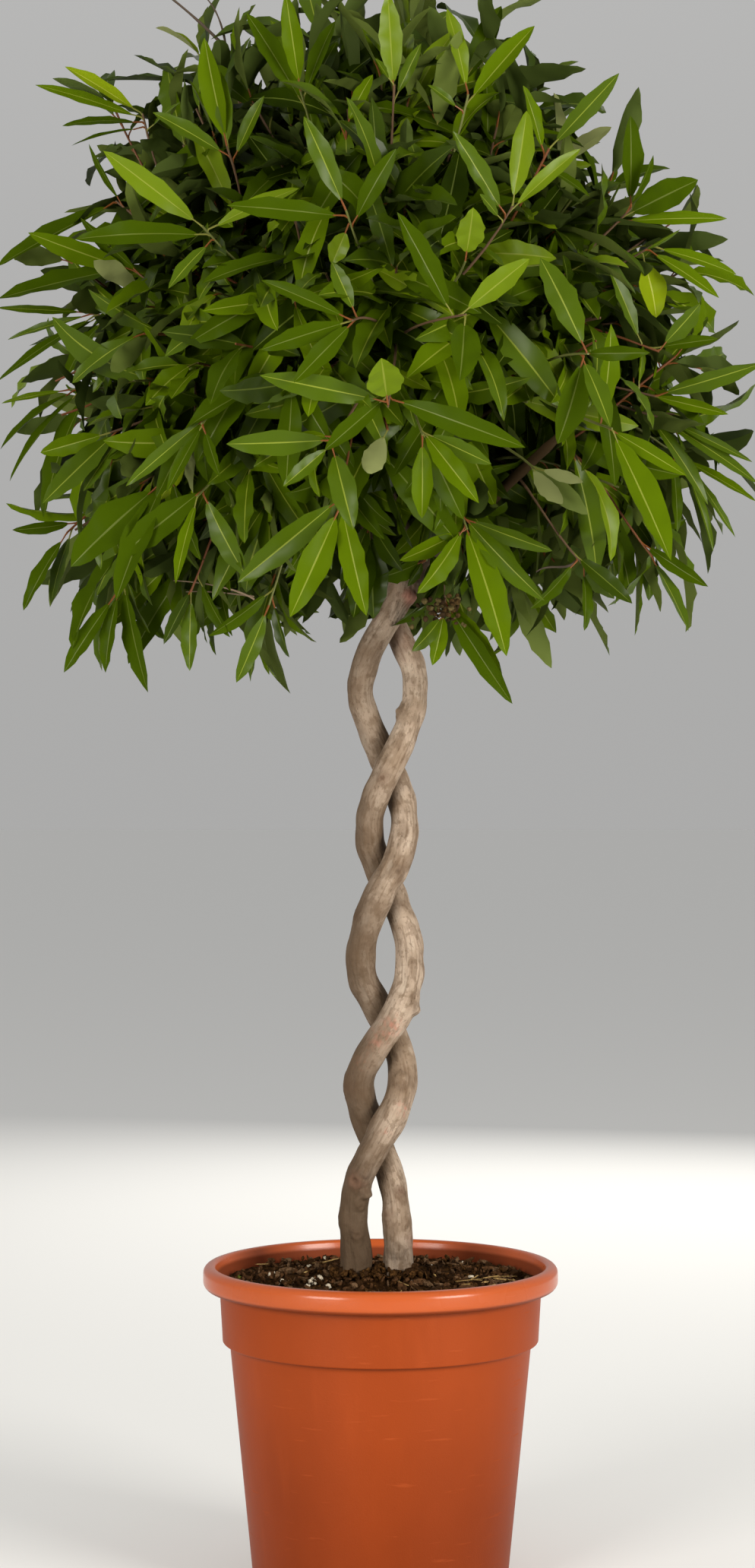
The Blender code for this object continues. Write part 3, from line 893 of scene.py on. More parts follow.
limb_bark = limb_finish()
bough_ends = {}
for number, (bough, stem) in enumerate(BOUGHS.items()):
    corners = np.array([vert.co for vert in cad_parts[bough].data.vertices])
    reach = np.linalg.norm(corners - stem_heads[stem][:3], axis=1)
    order = reach.argsort()
    near, far = (corners[picked].mean(0) for picked in (order[:END_CORNERS], order[-END_CORNERS:]))
    inset = END_SHARE * (far - near)
    rows = sections(bough, Vector(near + inset), Vector(far - inset), 9)
    into = unit(rows[0, :3] - rows[1, :3]) * 0.4 + unit(stem_heads[stem][:3] - rows[0, :3]) * 0.6
    root = np.append(rows[0, :3] + into * COLLAR_RUN, rows[0, 3] * 1.1)
    out = unit(rows[-1, :3] - rows[-2, :3])
    tip = np.append(rows[-1, :3] + out * np.linalg.norm(inset), rows[-1, 3])
    bough_run = np.vstack([root, rows, tip])
    length = np.linalg.norm(np.diff(bough_run[:, :3], axis=0), axis=1).sum()
    bough_run = smooth_run(bough_run, round(length / BOUGH_RING_SPACING))
    bough_ends[bough] = (bough_run[-1], out)
    shape = limb_shape(bough_run, BOUGH_SIDES, bough_relief(number))
    name = bough.replace("bough_", "") + "_main_bough"
    piece_from(name, shape, [limb_bark], "twig_bark", bough, crease=60)


# Limbs, branches and shoots. Inside the ball each woody bough forks twice and ends in leafy
# shoots, grown out to the clipped outline and thinned where the ball is open underneath.

SHOOT_SEED = 21
OUTER_SHOOTS = 440
INNER_SHOOTS = 120
LEAST_REACH = 0.215      # shorter reaches of the outline are the hollow round the stems
LEAF_ROOM = 0.050        # left between a shoot's tip and the outline for its last leaves
SHOOT_DEPTHS = (0.0, 0.022, 0.048)  # how far short of the outline shoots stop
DEPTH_SHARES = (0.26, 0.42, 0.32)   # and what share of them do
SKIRT_RISE = (-0.9, -0.35)   # the skirt is thinned, below this upward part of a shoot's way
SKIRT_SHARE = (0.55, 1.0)
INNER_REACH = 0.16       # the least reach of the outline that shoots inside the ball need
INNER_SHARES = (0.42, 0.66)  # of that reach, where they end
DEPTH_SPREAD = 0.014     # how far a shoot's tip may lie behind its depth
CAST_FROM = 0.7          # rays that find the outline start this far from the ball's middle
WAY_SHAKE = 0.055        # spread of the shoots' places round the ball
SHOOT_SHAKE = 0.20       # spread of the ways they point
LIFT_LEVELS = (-1.0, -0.55, -0.1, 0.4, 1.0)  # from the skirt to the top of the ball
LIFTS = (-0.55, -0.24, 0.16, 0.55, 0.45)     # how far up shoots there turn
SHOOT_LENGTHS = (0.085, 0.125)
INNER_LENGTH = 0.8       # length of a shoot inside the ball, of the others'
SHOOT_RADII = (0.00135, 0.00085)
BRANCHES = 120
LIMBS = 26
LIMB_SHARE = 0.52        # of the way from a bough's end to its branches, where a limb forks
FORK_RISE = (-0.008, 0.012)  # and how far over that place the fork may lie
BRANCH_SHARE = 0.74      # of the way from a fork to a branch's shoots, where it ends
SIDE_COST = 1.6          # a bough serves places before its end sooner than those beside it
TWIG_POINTS = 11
OPENING_DEPTH = 0.2      # how far back along its way a shoot keeps clear of the openings
OPENINGS = (             # middle and radius
    ((0.088, -0.200, 0.858), 0.048),
    ((0.110, -0.135, 0.868), 0.044),
    ((0.010, -0.170, 0.836), 0.032),
    ((0.080, -0.165, 0.838), 0.034),
)
SPRAY_ROOM = 0.030       # other shoots keep this far from the set sprays
MM = 1000                # millimetres in a metre
# Long shoots that stand out of the ball: where the last leaf of each ends, in millimetres.
LONG_SHOOTS = (
    (-247, -20, 1188), (-169, 30, 1249), (-300, -30, 1053), (-301, 20, 966), (-301, -50, 932),
    (-290, 40, 905), (-281, -20, 800), (-262, 50, 770), (-240, -50, 765), (-205, -40, 755),
    (150, -20, 1205), (221, -40, 1122), (270, 0, 1083), (280, -50, 1033), (298, 20, 955),
    (296, -30, 885), (292, 50, 864), (262, -20, 810), (241, 30, 790), (95, -50, 1262), (-60, -30, 1270),
    (20, 50, 1285), (100, 250, 1080), (-160, 240, 950), (200, 210, 860), (-30, 290, 1020),
    (70, 240, 760), (-200, 170, 1130),
)
# The sprays that stand out most, in millimetres: where the shoot of each ends, then for each of
# its leaves the X and Z of its tip, its colour from old to young and its half width in hundredths
# of its length, which is negative where it shows its underside.
# On the top and the left flank the colours are set a step darker, as painted shade.
SPRAYS = (
    ((5, -260, 895), (0, 927, 5, 48), (-85, 915, 3, 12), (100, 865, 2, 11),  # front middle
     (-40, 865, 2, 17)),
    ((30, -215, 880), (30, 820, 4, 20), (80, 860, 3, 16), (70, 830, 4, 16),  # under the front middle
     (60, 820, 2, 18)),
    ((65, -120, 820), (15, 795, 4, 17), (30, 770, 4, 19), (95, 725, 4, 15),  # over the fork, right
     (130, 805, 3, 13), (120, 765, 3, 13)),
    ((50, -60, 760), (25, 730, 3, 20), (40, 720, 4, 20), (100, 690, 2, 12),  # hanging under it
     (95, 710, 4, 17)),
    ((-30, -190, 830), (-65, 750, 4, 17), (-10, 750, 4, 14), (-105, 775, 3, 15),  # over the fork, left
     (-20, 775, 2, 15)),
    ((35, -70, 800), (0, 785, 2, 27), (20, 780, 1, 20), (50, 780, 1, 22),  # over the left trunk's head
     (10, 795, 0, 25)),
    ((-10, -85, 820), (-20, 755, 0, 20), (-5, 755, 1, 24), (15, 790, 1, 20),  # over the right trunk's head
     (-30, 775, 1, 18)),
    ((-35, -235, 870), (-20, 810, 3, 21), (-70, 840, 3, 16), (-110, 870, 3, 15),  # left of the middle
     (-60, 880, 4, 20)),
    ((170, -170, 890), (210, 790, 4, 15.5), (225, 855, 4, 13), (170, 965, 4, 15)),  # right, low
    ((150, -205, 940), (115, 1010, 3, 19), (130, 875, 2, 23), (165, 885, 3, 17),  # right of the middle
     (195, 940, 2, 14)),
    ((60, -260, 960), (55, 910, 2, 31), (105, 1000, 5, 19), (10, 1030, 2, 15)),  # middle, upper right
    ((60, -245, 1000), (65, 1032, 5, 34)),  # a young leaf over it
    ((5, -205, 885), (-10, 850, 6, -26)),  # a pale leaf over the trunks' heads
    ((115, -130, 865), (150, 853, 6, -16), (135, 834, 7, -20),  # turned over, in the opening
     (155, 830, 3, -17)),
    ((-20, -265, 955), (-85, 985, 2, 12), (-85, 935, 2, 14), (-60, 910, 2, 14),  # middle, upper left
     (-35, 1000, 3, 19)),
    ((-25, -225, 1040), (-55, 1105, 3, 15), (-110, 1040, 2, 12), (-35, 1003, 5, 36),  # upper middle
     (10, 1080, 2, 15)),
    ((95, -215, 1045), (105, 1115, 5, 17), (145, 1090, 5, 12), (50, 1095, 3, 14),  # upper right
     (70, 1050, 3, 17)),
    ((-130, -190, 1035), (-200, 1085, 5, 12.5), (-60, 1065, 5, 11), (-225, 1030, 2, 12),  # upper left
     (-155, 990, 3, 15)),
    ((-165, -150, 850), (-230, 790, 2, 22), (-195, 765, 2, 15), (-135, 795, 2, 16)),  # low left
    ((-205, -100, 895), (-260, 880, 4, 19), (-255, 840, 3, 15), (-225, 850, 3, 13)),  # left, over the skirt
    ((210, -110, 955), (240, 990, 3, 24), (255, 965, 2, 14), (170, 1015, 3, 14)),  # right edge
    ((205, -110, 1035), (270, 1015, 4, 11), (255, 995, 4, 12), (210, 982, 6, 35),  # right edge, upper
     (225, 1045, 3, 7)),
    ((210, -80, 925), (290, 950, 3, 12), (265, 910, 4, 11), (200, 965, 4, 13)),  # right edge, low
    ((220, -60, 910), (285, 875, 3, 7), (290, 860, 3, 7), (255, 845, 3, 10)),  # right edge, drooping
    ((240, -30, 880), (275, 820, 3, 7), (260, 810, 3, 7), (290, 845, 4, 8),  # right edge, hanging
     (230, 825, 2, 12)),
    ((-115, -135, 1105), (-130, 1180, 4, 17), (-120, 1155, 3, 18), (-170, 1130, 3, 14),  # top left
     (-85, 1140, 3, 16)),
    ((-60, -140, 1145), (-70, 1210, 4, 16), (-35, 1200, 2, 15),  # top, left of the middle
     (-100, 1200, 2, 14)),
    ((10, -160, 1145), (-5, 1160, 3, 20), (5, 1210, 5, 16), (30, 1175, 3, 15)),  # top middle
    ((65, -150, 1140), (50, 1205, 5, 14), (115, 1190, 4, 16),  # top, right of the middle
     (35, 1145, 3, 16)),
    ((125, -150, 1100), (175, 1150, 3, 12), (105, 1145, 4, 15), (155, 1065, 2, 13)),  # top right
    ((190, -100, 1065), (185, 1130, 2, 17), (205, 1100, 2, 12), (240, 1085, 2, 24),  # right shoulder
     (265, 1060, 4, 9)),
    ((-185, -40, 1150), (-245, 1185, 6, 12), (-270, 1175, 4, 7), (-245, 1140, 2, 10),  # top left edge
     (-240, 1125, 2, 6), (-155, 1155, 3, 10)),
    ((-205, -50, 1080), (-295, 1025, 2, 11), (-225, 1120, 2, 8), (-180, 1110, 2, 10)),  # left shoulder
    ((-195, -50, 1030), (-295, 1000, 2, 13), (-270, 1050, 4, 13), (-230, 1065, 2, 13)),  # left edge, high
    ((-230, -10, 1000), (-300, 1000, 3, 6), (-295, 980, 3, 7), (-300, 945, 2, 6),  # left edge, whorl
     (-270, 970, 2, 7), (-250, 950, 2, 20)),
    ((-245, -5, 940), (-300, 930, 4, 7), (-300, 895, 2, 10), (-295, 870, 2, 7),  # left edge, middle
     (-270, 840, 2, 12)),
    ((-130, -200, 890), (-115, 850, 2, 17), (-155, 840, 2, 12), (-185, 845, 3, 10)),  # curtain, left
    ((-135, -170, 840), (-150, 775, 4, 10), (-100, 780, 3, 16), (-195, 795, 2, 18)),  # curtain, low
    ((-205, -55, 775), (-245, 715, 2, 13), (-215, 715, 2, 14), (-180, 700, 2, 14)),  # hanging low left
    ((-245, -30, 825), (-280, 765, 2, 13), (-260, 770, 1, 13), (-285, 825, 2, 13)),  # hanging left edge
    ((-145, -85, 775), (-145, 715, 3, 15), (-165, 735, 1, 14), (-115, 740, 2, 16)),  # hanging left
    ((-85, -90, 765), (-110, 705, 3, 14), (-70, 725, 1, 16),  # hanging left of the stems
     (-130, 740, 2, 14)),
    ((155, -90, 795), (155, 745, 2, 16), (115, 760, 2, 17), (190, 765, 1, 15)),  # hanging right
    ((210, -50, 805), (235, 745, 3, 14), (250, 780, 2, 13)),  # hanging right edge
)
# A thick limb that shows in the opening: where it ends.
OPEN_LIMB_END = (0.148, -0.140, 0.902)
OPEN_LIMB_RADII = (0.0062, 0.0028)
masses = [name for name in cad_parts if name.startswith("foliage_")]
ball = [name for name in masses if name != "foliage_hanging_spray"]
rng = np.random.default_rng(SHOOT_SEED)

mass_verts, mass_faces = [], []
for name in masses:
    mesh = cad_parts[name].data
    mass_faces += [[i + len(mass_verts) for i in face.vertices] for face in mesh.polygons]
    mass_verts += [vert.co.copy() for vert in mesh.vertices]
outline_tree = BVHTree.FromPolygons(mass_verts, mass_faces)
ball_low = np.min([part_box(name)[0] for name in ball], axis=0)
ball_high = np.max([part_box(name)[1] for name in ball], axis=0)
ball_middle = (ball_low + ball_high) / 2
mass_middles = {name: np.array(sum(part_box(name), Vector())) / 2 for name in masses}


def outline(ways):
    """How far the ball reaches from its middle along each way."""
    reach = []
    for way in ways:
        start = Vector(ball_middle + way * CAST_FROM)
        hit = outline_tree.ray_cast(start, Vector(-way))[3]
        reach.append(0.0 if hit is None else max(0.0, CAST_FROM - hit))
    return np.array(reach)


def ways_round(count):
    """Directions spread evenly over a sphere and shaken a little."""
    i = np.arange(count) + 0.5
    rise = 1 - 2 * i / count
    angle = i * math.pi * (1 + math.sqrt(5))
    flat = np.sqrt(1 - rise**2)
    even = np.stack([flat * np.cos(angle), flat * np.sin(angle), rise], 1)
    return unit(even + rng.normal(0, WAY_SHAKE, (count, 3)))


def gather(points, count, rounds=6):
    """Group points into clusters: each point's cluster and each cluster's middle."""
    middles = points[rng.choice(len(points), count, replace=False)]
    for _ in range(rounds):
        nearest = ((points[:, None] - middles[None]) ** 2).sum(2).argmin(1)
        middles = np.array([
            points[nearest == k].mean(0) if (nearest == k).any() else middles[k] for k in range(count)
        ])
    return ((points[:, None] - middles[None]) ** 2).sum(2).argmin(1), middles


def bend(start, start_way, end, end_way, count, early=0.33, late=0.33):
    """Points of smooth curves that leave and arrive along given ways."""
    span = np.linalg.norm(end - start, axis=1, keepdims=True)
    a, b, c, d = start, start + start_way * span * early, end - end_way * span * late, end
    t = np.linspace(0, 1, count)[None, :, None]
    a, b, c, d = (p[:, None] for p in (a, b, c, d))
    return (1 - t) ** 3 * a + 3 * t * (1 - t) ** 2 * b + 3 * t**2 * (1 - t) * c + t**3 * d


def clear_of_openings(points):
    open_air = np.ones(len(points), bool)
    for middle, radius in OPENINGS:
        open_air &= np.linalg.norm(points - np.array(middle), axis=1) > radius
    return open_air


ways = ways_round(OUTER_SHOOTS)
reach = outline(ways)
grown_share = np.interp(ways[:, 2], SKIRT_RISE, SKIRT_SHARE)
full = (reach > LEAST_REACH) & (rng.uniform(size=OUTER_SHOOTS) < grown_share)
ways, reach = ways[full], reach[full]
depth = rng.choice(SHOOT_DEPTHS, len(ways), p=DEPTH_SHARES)
depth += rng.uniform(0.0, DEPTH_SPREAD, len(ways))
outer_tips = ball_middle + ways * (reach - LEAF_ROOM - depth)[:, None]
long_ends = np.array(LONG_SHOOTS) / MM
long_ways = unit(long_ends - ball_middle)
spray_tips = np.array([tip for tip, *_ in SPRAYS]) / MM
clear = np.linalg.norm(outer_tips[:, None] - spray_tips[None], axis=2).min(1) > SPRAY_ROOM
outer_tips = np.concatenate([spray_tips, long_ends - long_ways * LEAF_ROOM, outer_tips[clear]])
inner_ways = ways_round(INNER_SHOOTS)
inner_reach = outline(inner_ways)
deep_enough = inner_reach > INNER_REACH
inner_ways, inner_reach = inner_ways[deep_enough], inner_reach[deep_enough]
inner_reach *= rng.uniform(*INNER_SHARES, len(inner_ways))
inner_tips = ball_middle + inner_ways * inner_reach[:, None]

tips = np.concatenate([outer_tips, inner_tips])
tip_ways = unit(tips - ball_middle)
inner = np.arange(len(tips)) >= len(outer_tips)
long = np.zeros(len(tips), bool)
long[len(SPRAYS):len(SPRAYS) + len(LONG_SHOOTS)] = True
further_back = tips * (1 - OPENING_DEPTH) + ball_middle * OPENING_DEPTH
kept = clear_of_openings(tips) & clear_of_openings(further_back)
kept[:len(SPRAYS)] = True
tips, tip_ways, inner, long = tips[kept], tip_ways[kept], inner[kept], long[kept]

# The shoots point up over the top of the ball, outwards round its middle and down at its skirt.
level = (tips[:, 2] - ball_middle[2]) / (ball_high[2] - ball_middle[2])
shoot_ways = tip_ways + rng.normal(0, SHOOT_SHAKE, tips.shape)
shoot_ways[:, 2] += np.interp(level, LIFT_LEVELS, LIFTS)
shoot_ways = unit(shoot_ways)
shoot_lengths = rng.uniform(*SHOOT_LENGTHS, len(tips)) * np.where(inner, INNER_LENGTH, 1.0)
bases = tips - shoot_ways * shoot_lengths[:, None]

branch_of, branch_middles = gather(bases, BRANCHES)
limb_of, limb_middles = gather(branch_middles, LIMBS)
ends = np.array([row[:3] for row, _ in bough_ends.values()])
end_radii = np.array([row[3] for row, _ in bough_ends.values()])
end_ways = np.array([way for _, way in bough_ends.values()])


def bough_for(points):
    """The bough that each point is best reached from."""
    arms = points[:, None] - ends[None]
    span = np.linalg.norm(arms, axis=2)
    ahead = (unit(arms) * end_ways[None]).sum(2)
    return (span * (SIDE_COST - ahead)).argmin(1)


bough_of = bough_for(limb_middles)
limb_nodes = ends[bough_of] + (limb_middles - ends[bough_of]) * LIMB_SHARE
limb_nodes[:, 2] += rng.uniform(*FORK_RISE, LIMBS)
branch_starts = limb_nodes[limb_of]
branch_nodes = branch_starts + (branch_middles - branch_starts) * BRANCH_SHARE
branch_ways = unit(branch_nodes - branch_starts)
right_end = list(BOUGHS).index("bough_right")
limb_nodes = np.vstack([limb_nodes, OPEN_LIMB_END])
bough_of = np.append(bough_of, right_end)
limb_ways = unit(limb_nodes - ends[bough_of])
limb_runs = bend(ends[bough_of], end_ways[bough_of], limb_nodes, limb_ways, 16)
branch_runs = bend(branch_starts, limb_ways[limb_of], branch_nodes, branch_ways, 12)
shoot_starts = branch_nodes[branch_of]
shoot_runs = bend(shoot_starts, branch_ways[branch_of], tips, shoot_ways, TWIG_POINTS, 0.25, 0.45)


def twigs_along(name, runs, thick, thin, sides, finishes, kinds):
    """Joined tubes along many runs, tapering from thick to thin."""
    points = runs.shape[1]
    corners, faces, _ = corners_of(upright_tube(sides, points))
    ring = np.round((corners[:, 2] + 0.5) * (points - 1)).astype(int)
    ways = unit(np.gradient(runs, axis=1))
    flat = np.where(np.abs(ways[:, :1, 2:]) < 0.8, [[[0.0, 0.0, 1.0]]], [[[1.0, 0.0, 0.0]]])
    across = unit(np.cross(ways, np.broadcast_to(flat, ways.shape)))
    other = np.cross(ways, across)
    share = np.linspace(0, 1, points)[None, :, None]
    radii = thick[:, None, None] * (1 - share) + thin[:, None, None] * share
    wander = 1 + 0.10 * rng.normal(size=radii.shape).clip(-1.5, 1.5)
    arms = (across * radii * wander, other * radii * wander)
    places = runs[:, ring] + arms[0][:, ring] * corners[:, :1] - arms[1][:, ring] * corners[:, 1:2]
    mesh = joined(name, places, faces, np.repeat(kinds[:, None], len(faces), 1))
    piece_of(name, mesh, finishes, "twig_bark", crease=60)


WOOD_SHEEN = 0.3
old_wood = [
    Finish("grey-brown limb", (0.050, 0.034, 0.017), 0.8, specular=0.05),
    Finish("brown limb", (0.044, 0.027, 0.012), 0.8, specular=0.05),
]
young_wood = [Finish(*row, WOOD_SHEEN) for row in (
    ("brown twig", (0.090, 0.050, 0.024), 0.65),
    ("green twig", (0.100, 0.110, 0.025), 0.55),
    ("red twig", (0.135, 0.045, 0.014), 0.5),
)]
limb_thick = end_radii[bough_of] * rng.uniform(0.80, 0.95, LIMBS + 1)
limb_thick[-1] = OPEN_LIMB_RADII[0]
limb_thin = np.append(rng.uniform(0.0019, 0.0023, LIMBS), OPEN_LIMB_RADII[1])
twigs_along("limbs", limb_runs, limb_thick, limb_thin, 12, old_wood, rng.integers(0, 2, LIMBS + 1))
branch_thick = limb_thin[limb_of] * 0.95
branch_thin = rng.uniform(0.0013, 0.0016, BRANCHES)
twigs_along("branches", branch_runs, branch_thick, branch_thin, 8, old_wood, rng.integers(0, 2, BRANCHES))


# Bare twigs and dried buds. A few thin dead twigs stand clear of the leaves, and a cluster of
# dried flower buds hangs on under the head, beside the stems.

BARE_TWIGS = (  # where each starts and ends, how thick it is and which bark it has
    ((-0.112, -0.045, 1.190), (-0.166, -0.050, 1.240), 0.0016, 0),
    ((-0.120, -0.045, 1.200), (-0.135, -0.055, 1.236), 0.0010, 0),
    ((-0.098, -0.050, 0.772), (-0.160, -0.055, 0.786), 0.0008, 1),
    ((-0.098, -0.050, 0.774), (-0.150, -0.060, 0.777), 0.0007, 1),
    ((0.150, -0.070, 0.800), (0.118, -0.095, 0.790), 0.0011, 0),
)
BUD_CLUSTER = (0.0470, -0.0700, 0.7630)
BUD_SPREAD = (0.0100, 0.0070, 0.0055)
BUDS = 70
twig_starts, twig_ends, twig_radii, twig_kinds = (np.array(rows) for rows in zip(*BARE_TWIGS))
twig_ways = unit(twig_ends - twig_starts)
start_ways, end_ways = (unit(twig_ways + rng.normal(0, 0.3, twig_ways.shape)) for _ in range(2))
bare_runs = bend(twig_starts, start_ways, twig_ends, end_ways, 14)
dead_wood = [
    Finish("dead twig", (0.060, 0.042, 0.028), 0.85, WOOD_SHEEN),
    Finish("pale dead twig", (0.210, 0.150, 0.095), 0.85, WOOD_SHEEN),
]
twigs_along("bare_twigs", bare_runs, twig_radii, twig_radii / 2, 6, dead_wood, twig_kinds)
bud_places = rng.normal(BUD_CLUSTER, BUD_SPREAD, (BUDS, 3))
bud_sizes = lump_sizes(BUDS, 0.0026, 0.0054)
bud_shapes = np.einsum("nij,nvj->nvi", turns(BUDS), crumb_corners[None] * bud_sizes[:, None])
bud_kinds = np.repeat(rng.integers(0, 3, BUDS)[:, None], len(crumb_faces), 1)
bud_finishes = [speckled(*row) for row in (
    ("brown dried bud", (0.080, 0.046, 0.016), (0.036, 0.022, 0.009), 0.9),
    ("dark dried bud", (0.050, 0.030, 0.014), (0.025, 0.015, 0.008), 0.9),
    ("straw dried bud", (0.120, 0.090, 0.034), (0.056, 0.042, 0.016), 0.9),
)]
bud_mesh = joined("dried_buds", bud_shapes + bud_places[:, None], crumb_faces, bud_kinds)
piece_of("dried_buds", bud_mesh, bud_finishes, "twig_bark", crease=50)


# Leaves. Bay leaves are leathery and glossy, pointed at both ends with a wavy edge and a pale
# midrib, set singly round each shoot on short red stalks, lime when young and dark when old.

LEAF_STATIONS = (0.0, 0.045, 0.13, 0.23, 0.33, 0.43, 0.53, 0.63, 0.73, 0.83, 0.93, 1.0)
LEAF_ROWS = (-1.0, -0.055, 0.055, 1.0)
UNDER_ROWS = (-1.0, 0.0, 1.0)
LEAF_THICKNESS = 0.05   # of the half width
LOBING = 0.065          # of the half width, how far the edge waves in and out
BLADE, MIDRIB, UNDERSIDE = 0, 1, 2
LEAF_TURN = math.radians(137.5)  # from one leaf to the next round a shoot
DROOP_LEVELS = (-1.0, -0.5, 0.0, 0.5, 1.0)  # from the skirt to the top of the ball
DROOPS = (0.72, 0.50, 0.20, 0.02, -0.12)
LOOSENESS = (-0.006, 0.026)  # how far a shoot's leaves may stand out past the outline
LONG_ROOM = 0.020            # and how much further on the long shoots
LEAST_LEAF = 0.66            # a leaf that would have to be shorter than this share is left out
HIDING_REACH = 0.030         # leaves in front of a set spray's, this near, are left out
HIDING_DEPTH = 0.01          # and those up to this far behind its
SET_WIDTH = 0.88             # of the widths in SPRAYS, as a leaf's ends are full
TIP_DEPTHS = (-0.030, 0.008)  # how far behind or before its shoot's end a set leaf's tip lies
FACING = (0.0, -0.95, 0.10)  # set leaves turn their upper faces this way, to the front
INNER_LEAVES, OUTER_LEAVES = (6, 9), (8, 13)  # leaves on a shoot, up to but not with the second
LEAF_GAPS = (0.0075, 0.0115)  # along a shoot
LEAF_LENGTHS = (0.056, 0.080, 0.104)  # least, usual and most
PLUMPNESS = (0.110, 0.147)   # half width of a leaf, of its length
STALK_LENGTHS = (0.006, 0.011)
STALK_RADII = (0.00078, 0.00052)
OPEN_LEVELS = (-1.0, -0.3, 0.5)  # levels of the ball, as in DROOP_LEVELS
WIDEST = (50, 62, 74)        # degrees between a shoot and its lowest leaves, at those levels
SET_STALK = 0.008            # stalk of a set leaf
STEM_AXIS_X = 0.006          # of the line that the stems wind round
STEM_ROOM = (0.050, 0.80)    # leaves keep this far from that line, below this height


def leaf_swell(u):
    """Half width of a leaf along its length, 1 at its widest."""
    return np.sin(np.pi * np.asarray(u) ** 0.98) ** 0.75


def leaf_sheet(shape, rows, lower):
    """One face of the flat leaf: a grid pinched to a point at both ends."""
    size = (len(LEAF_STATIONS) - 1, len(rows) - 1)
    grid = bmesh.ops.create_grid(shape, x_segments=size[0], y_segments=size[1], size=0.5)
    for vert in grid["verts"]:
        station = LEAF_STATIONS[round((vert.co.x + 0.5) * size[0])]
        row = rows[round((vert.co.y + 0.5) * size[1])]
        width = leaf_swell(station) if 0.0 < station < 1.0 else 0.0
        sag = LEAF_THICKNESS * (1 - abs(row)) if lower else 0.0
        vert.co = (station, row * width, -sag * width)
    faces = {face for vert in grid["verts"] for face in vert.link_faces}
    for face in list(faces):  # both sheets are cut along the same diagonals, so they never cross
        corners = face.verts[:]
        outer = min(range(4), key=lambda k: (round(corners[k].co.x, 4), -abs(corners[k].co.y)))
        faces.add(bmesh.utils.face_split(face, corners[outer], corners[(outer + 2) % 4])[0])
    for face in faces:
        middle = face.calc_center_median()
        narrow = abs(middle.y) < 0.02 and not lower
        face.material_index = UNDERSIDE if lower else (MIDRIB if narrow else BLADE)
    if lower:
        bmesh.ops.reverse_faces(shape, faces=list(faces))


def leaf_template():
    shape = bmesh.new()
    leaf_sheet(shape, LEAF_ROWS, lower=False)
    leaf_sheet(shape, UNDER_ROWS, lower=True)
    bmesh.ops.remove_doubles(shape, verts=shape.verts, dist=1e-5)
    return corners_of(shape)


leaf_corners, leaf_faces, leaf_roles = leaf_template()


def grow_leaves(foot, way, face, length, half_width, curl, fold, twist, wave, phase):
    """Corners of curved leaves from the flat one: copies x corners x 3."""
    u, v, w = (leaf_corners[None, :, k] for k in range(3))
    swell = np.maximum(leaf_swell(np.clip(u, 0, 1)), 1e-6)
    edge = np.clip(v / swell, -1, 1)
    side = np.cross(way, face)
    length, half_width, curl, fold, twist, wave = (
        x[:, None] for x in (length, half_width, curl, fold, twist, wave)
    )
    turn = curl * u
    ahead = length * np.sin(turn) / curl
    down = -length * (1 - np.cos(turn)) / curl
    roll = twist * u
    ripple = wave * np.abs(edge) * swell**0.5 * np.sin(
        2 * math.pi * (phase[:, :1] + phase[:, 1:2] * u + 0.28 * np.sign(v))
    )
    crown = half_width * (np.abs(v) * np.sin(fold) + w) + ripple
    lobes = np.sin(2 * math.pi * (1.2 * phase[:, 1:2] * u + np.sign(v) * phase[:, :1]))
    reach = half_width * v * np.cos(fold) * (1 + LOBING * lobes)
    local_side = reach * np.cos(roll) - crown * np.sin(roll)
    local_up = reach * np.sin(roll) + crown * np.cos(roll)
    forward = ahead + local_up * np.sin(turn)
    upward = down + local_up * np.cos(turn)
    return (
        foot[:, None]
        + way[:, None] * forward[..., None]
        + face[:, None] * upward[..., None]
        + side[:, None] * local_side[..., None]
    )


# Leaf colours from the oldest to the youngest; the last two are only on shoot tips.
# Tones also carry painted shade: leaves high on the ball are given older, darker tones.
LEAF_TONES = (
    (0.0140, 0.0250, 0.0006),
    (0.0225, 0.0390, 0.0007),
    (0.0330, 0.0570, 0.0008),
    (0.0450, 0.0760, 0.0009),
    (0.0620, 0.1010, 0.0011),
    (0.0910, 0.1370, 0.0016),
    (0.1450, 0.1950, 0.0035),
    (0.2200, 0.2750, 0.0080),
)
MIDRIB_TONES = ((0.072, 0.098, 0.007), (0.150, 0.185, 0.014), (0.260, 0.290, 0.026))
UNDER_TONES = ((0.060, 0.086, 0.016), (0.092, 0.122, 0.022), (0.180, 0.200, 0.070))
tone_count = len(LEAF_TONES)
GLOSS = (0.015, 0.11)  # every other tone is a glossier leaf
leaf_finishes = [
    Finish(f"leaf green {i + 1}", tone, 0.27 + 0.012 * i, GLOSS[i % 2])
    for i, tone in enumerate(LEAF_TONES)
]
for part, tones, roughness, specular in (
    ("midrib", MIDRIB_TONES, 0.45, 0.2),
    ("leaf underside", UNDER_TONES, 0.6, 0.1),
):
    leaf_finishes += [
        Finish(f"{part} {i + 1}", tone, roughness, specular) for i, tone in enumerate(tones)
    ]


def kinds_for(tones):
    """The material of each face of each leaf, from the leaf's tone."""
    third = np.clip(tones * 3 // tone_count, 0, 2)
    by_role = np.stack([tones, tone_count + third, tone_count + 3 + third], 1)
    return by_role[:, leaf_roles]


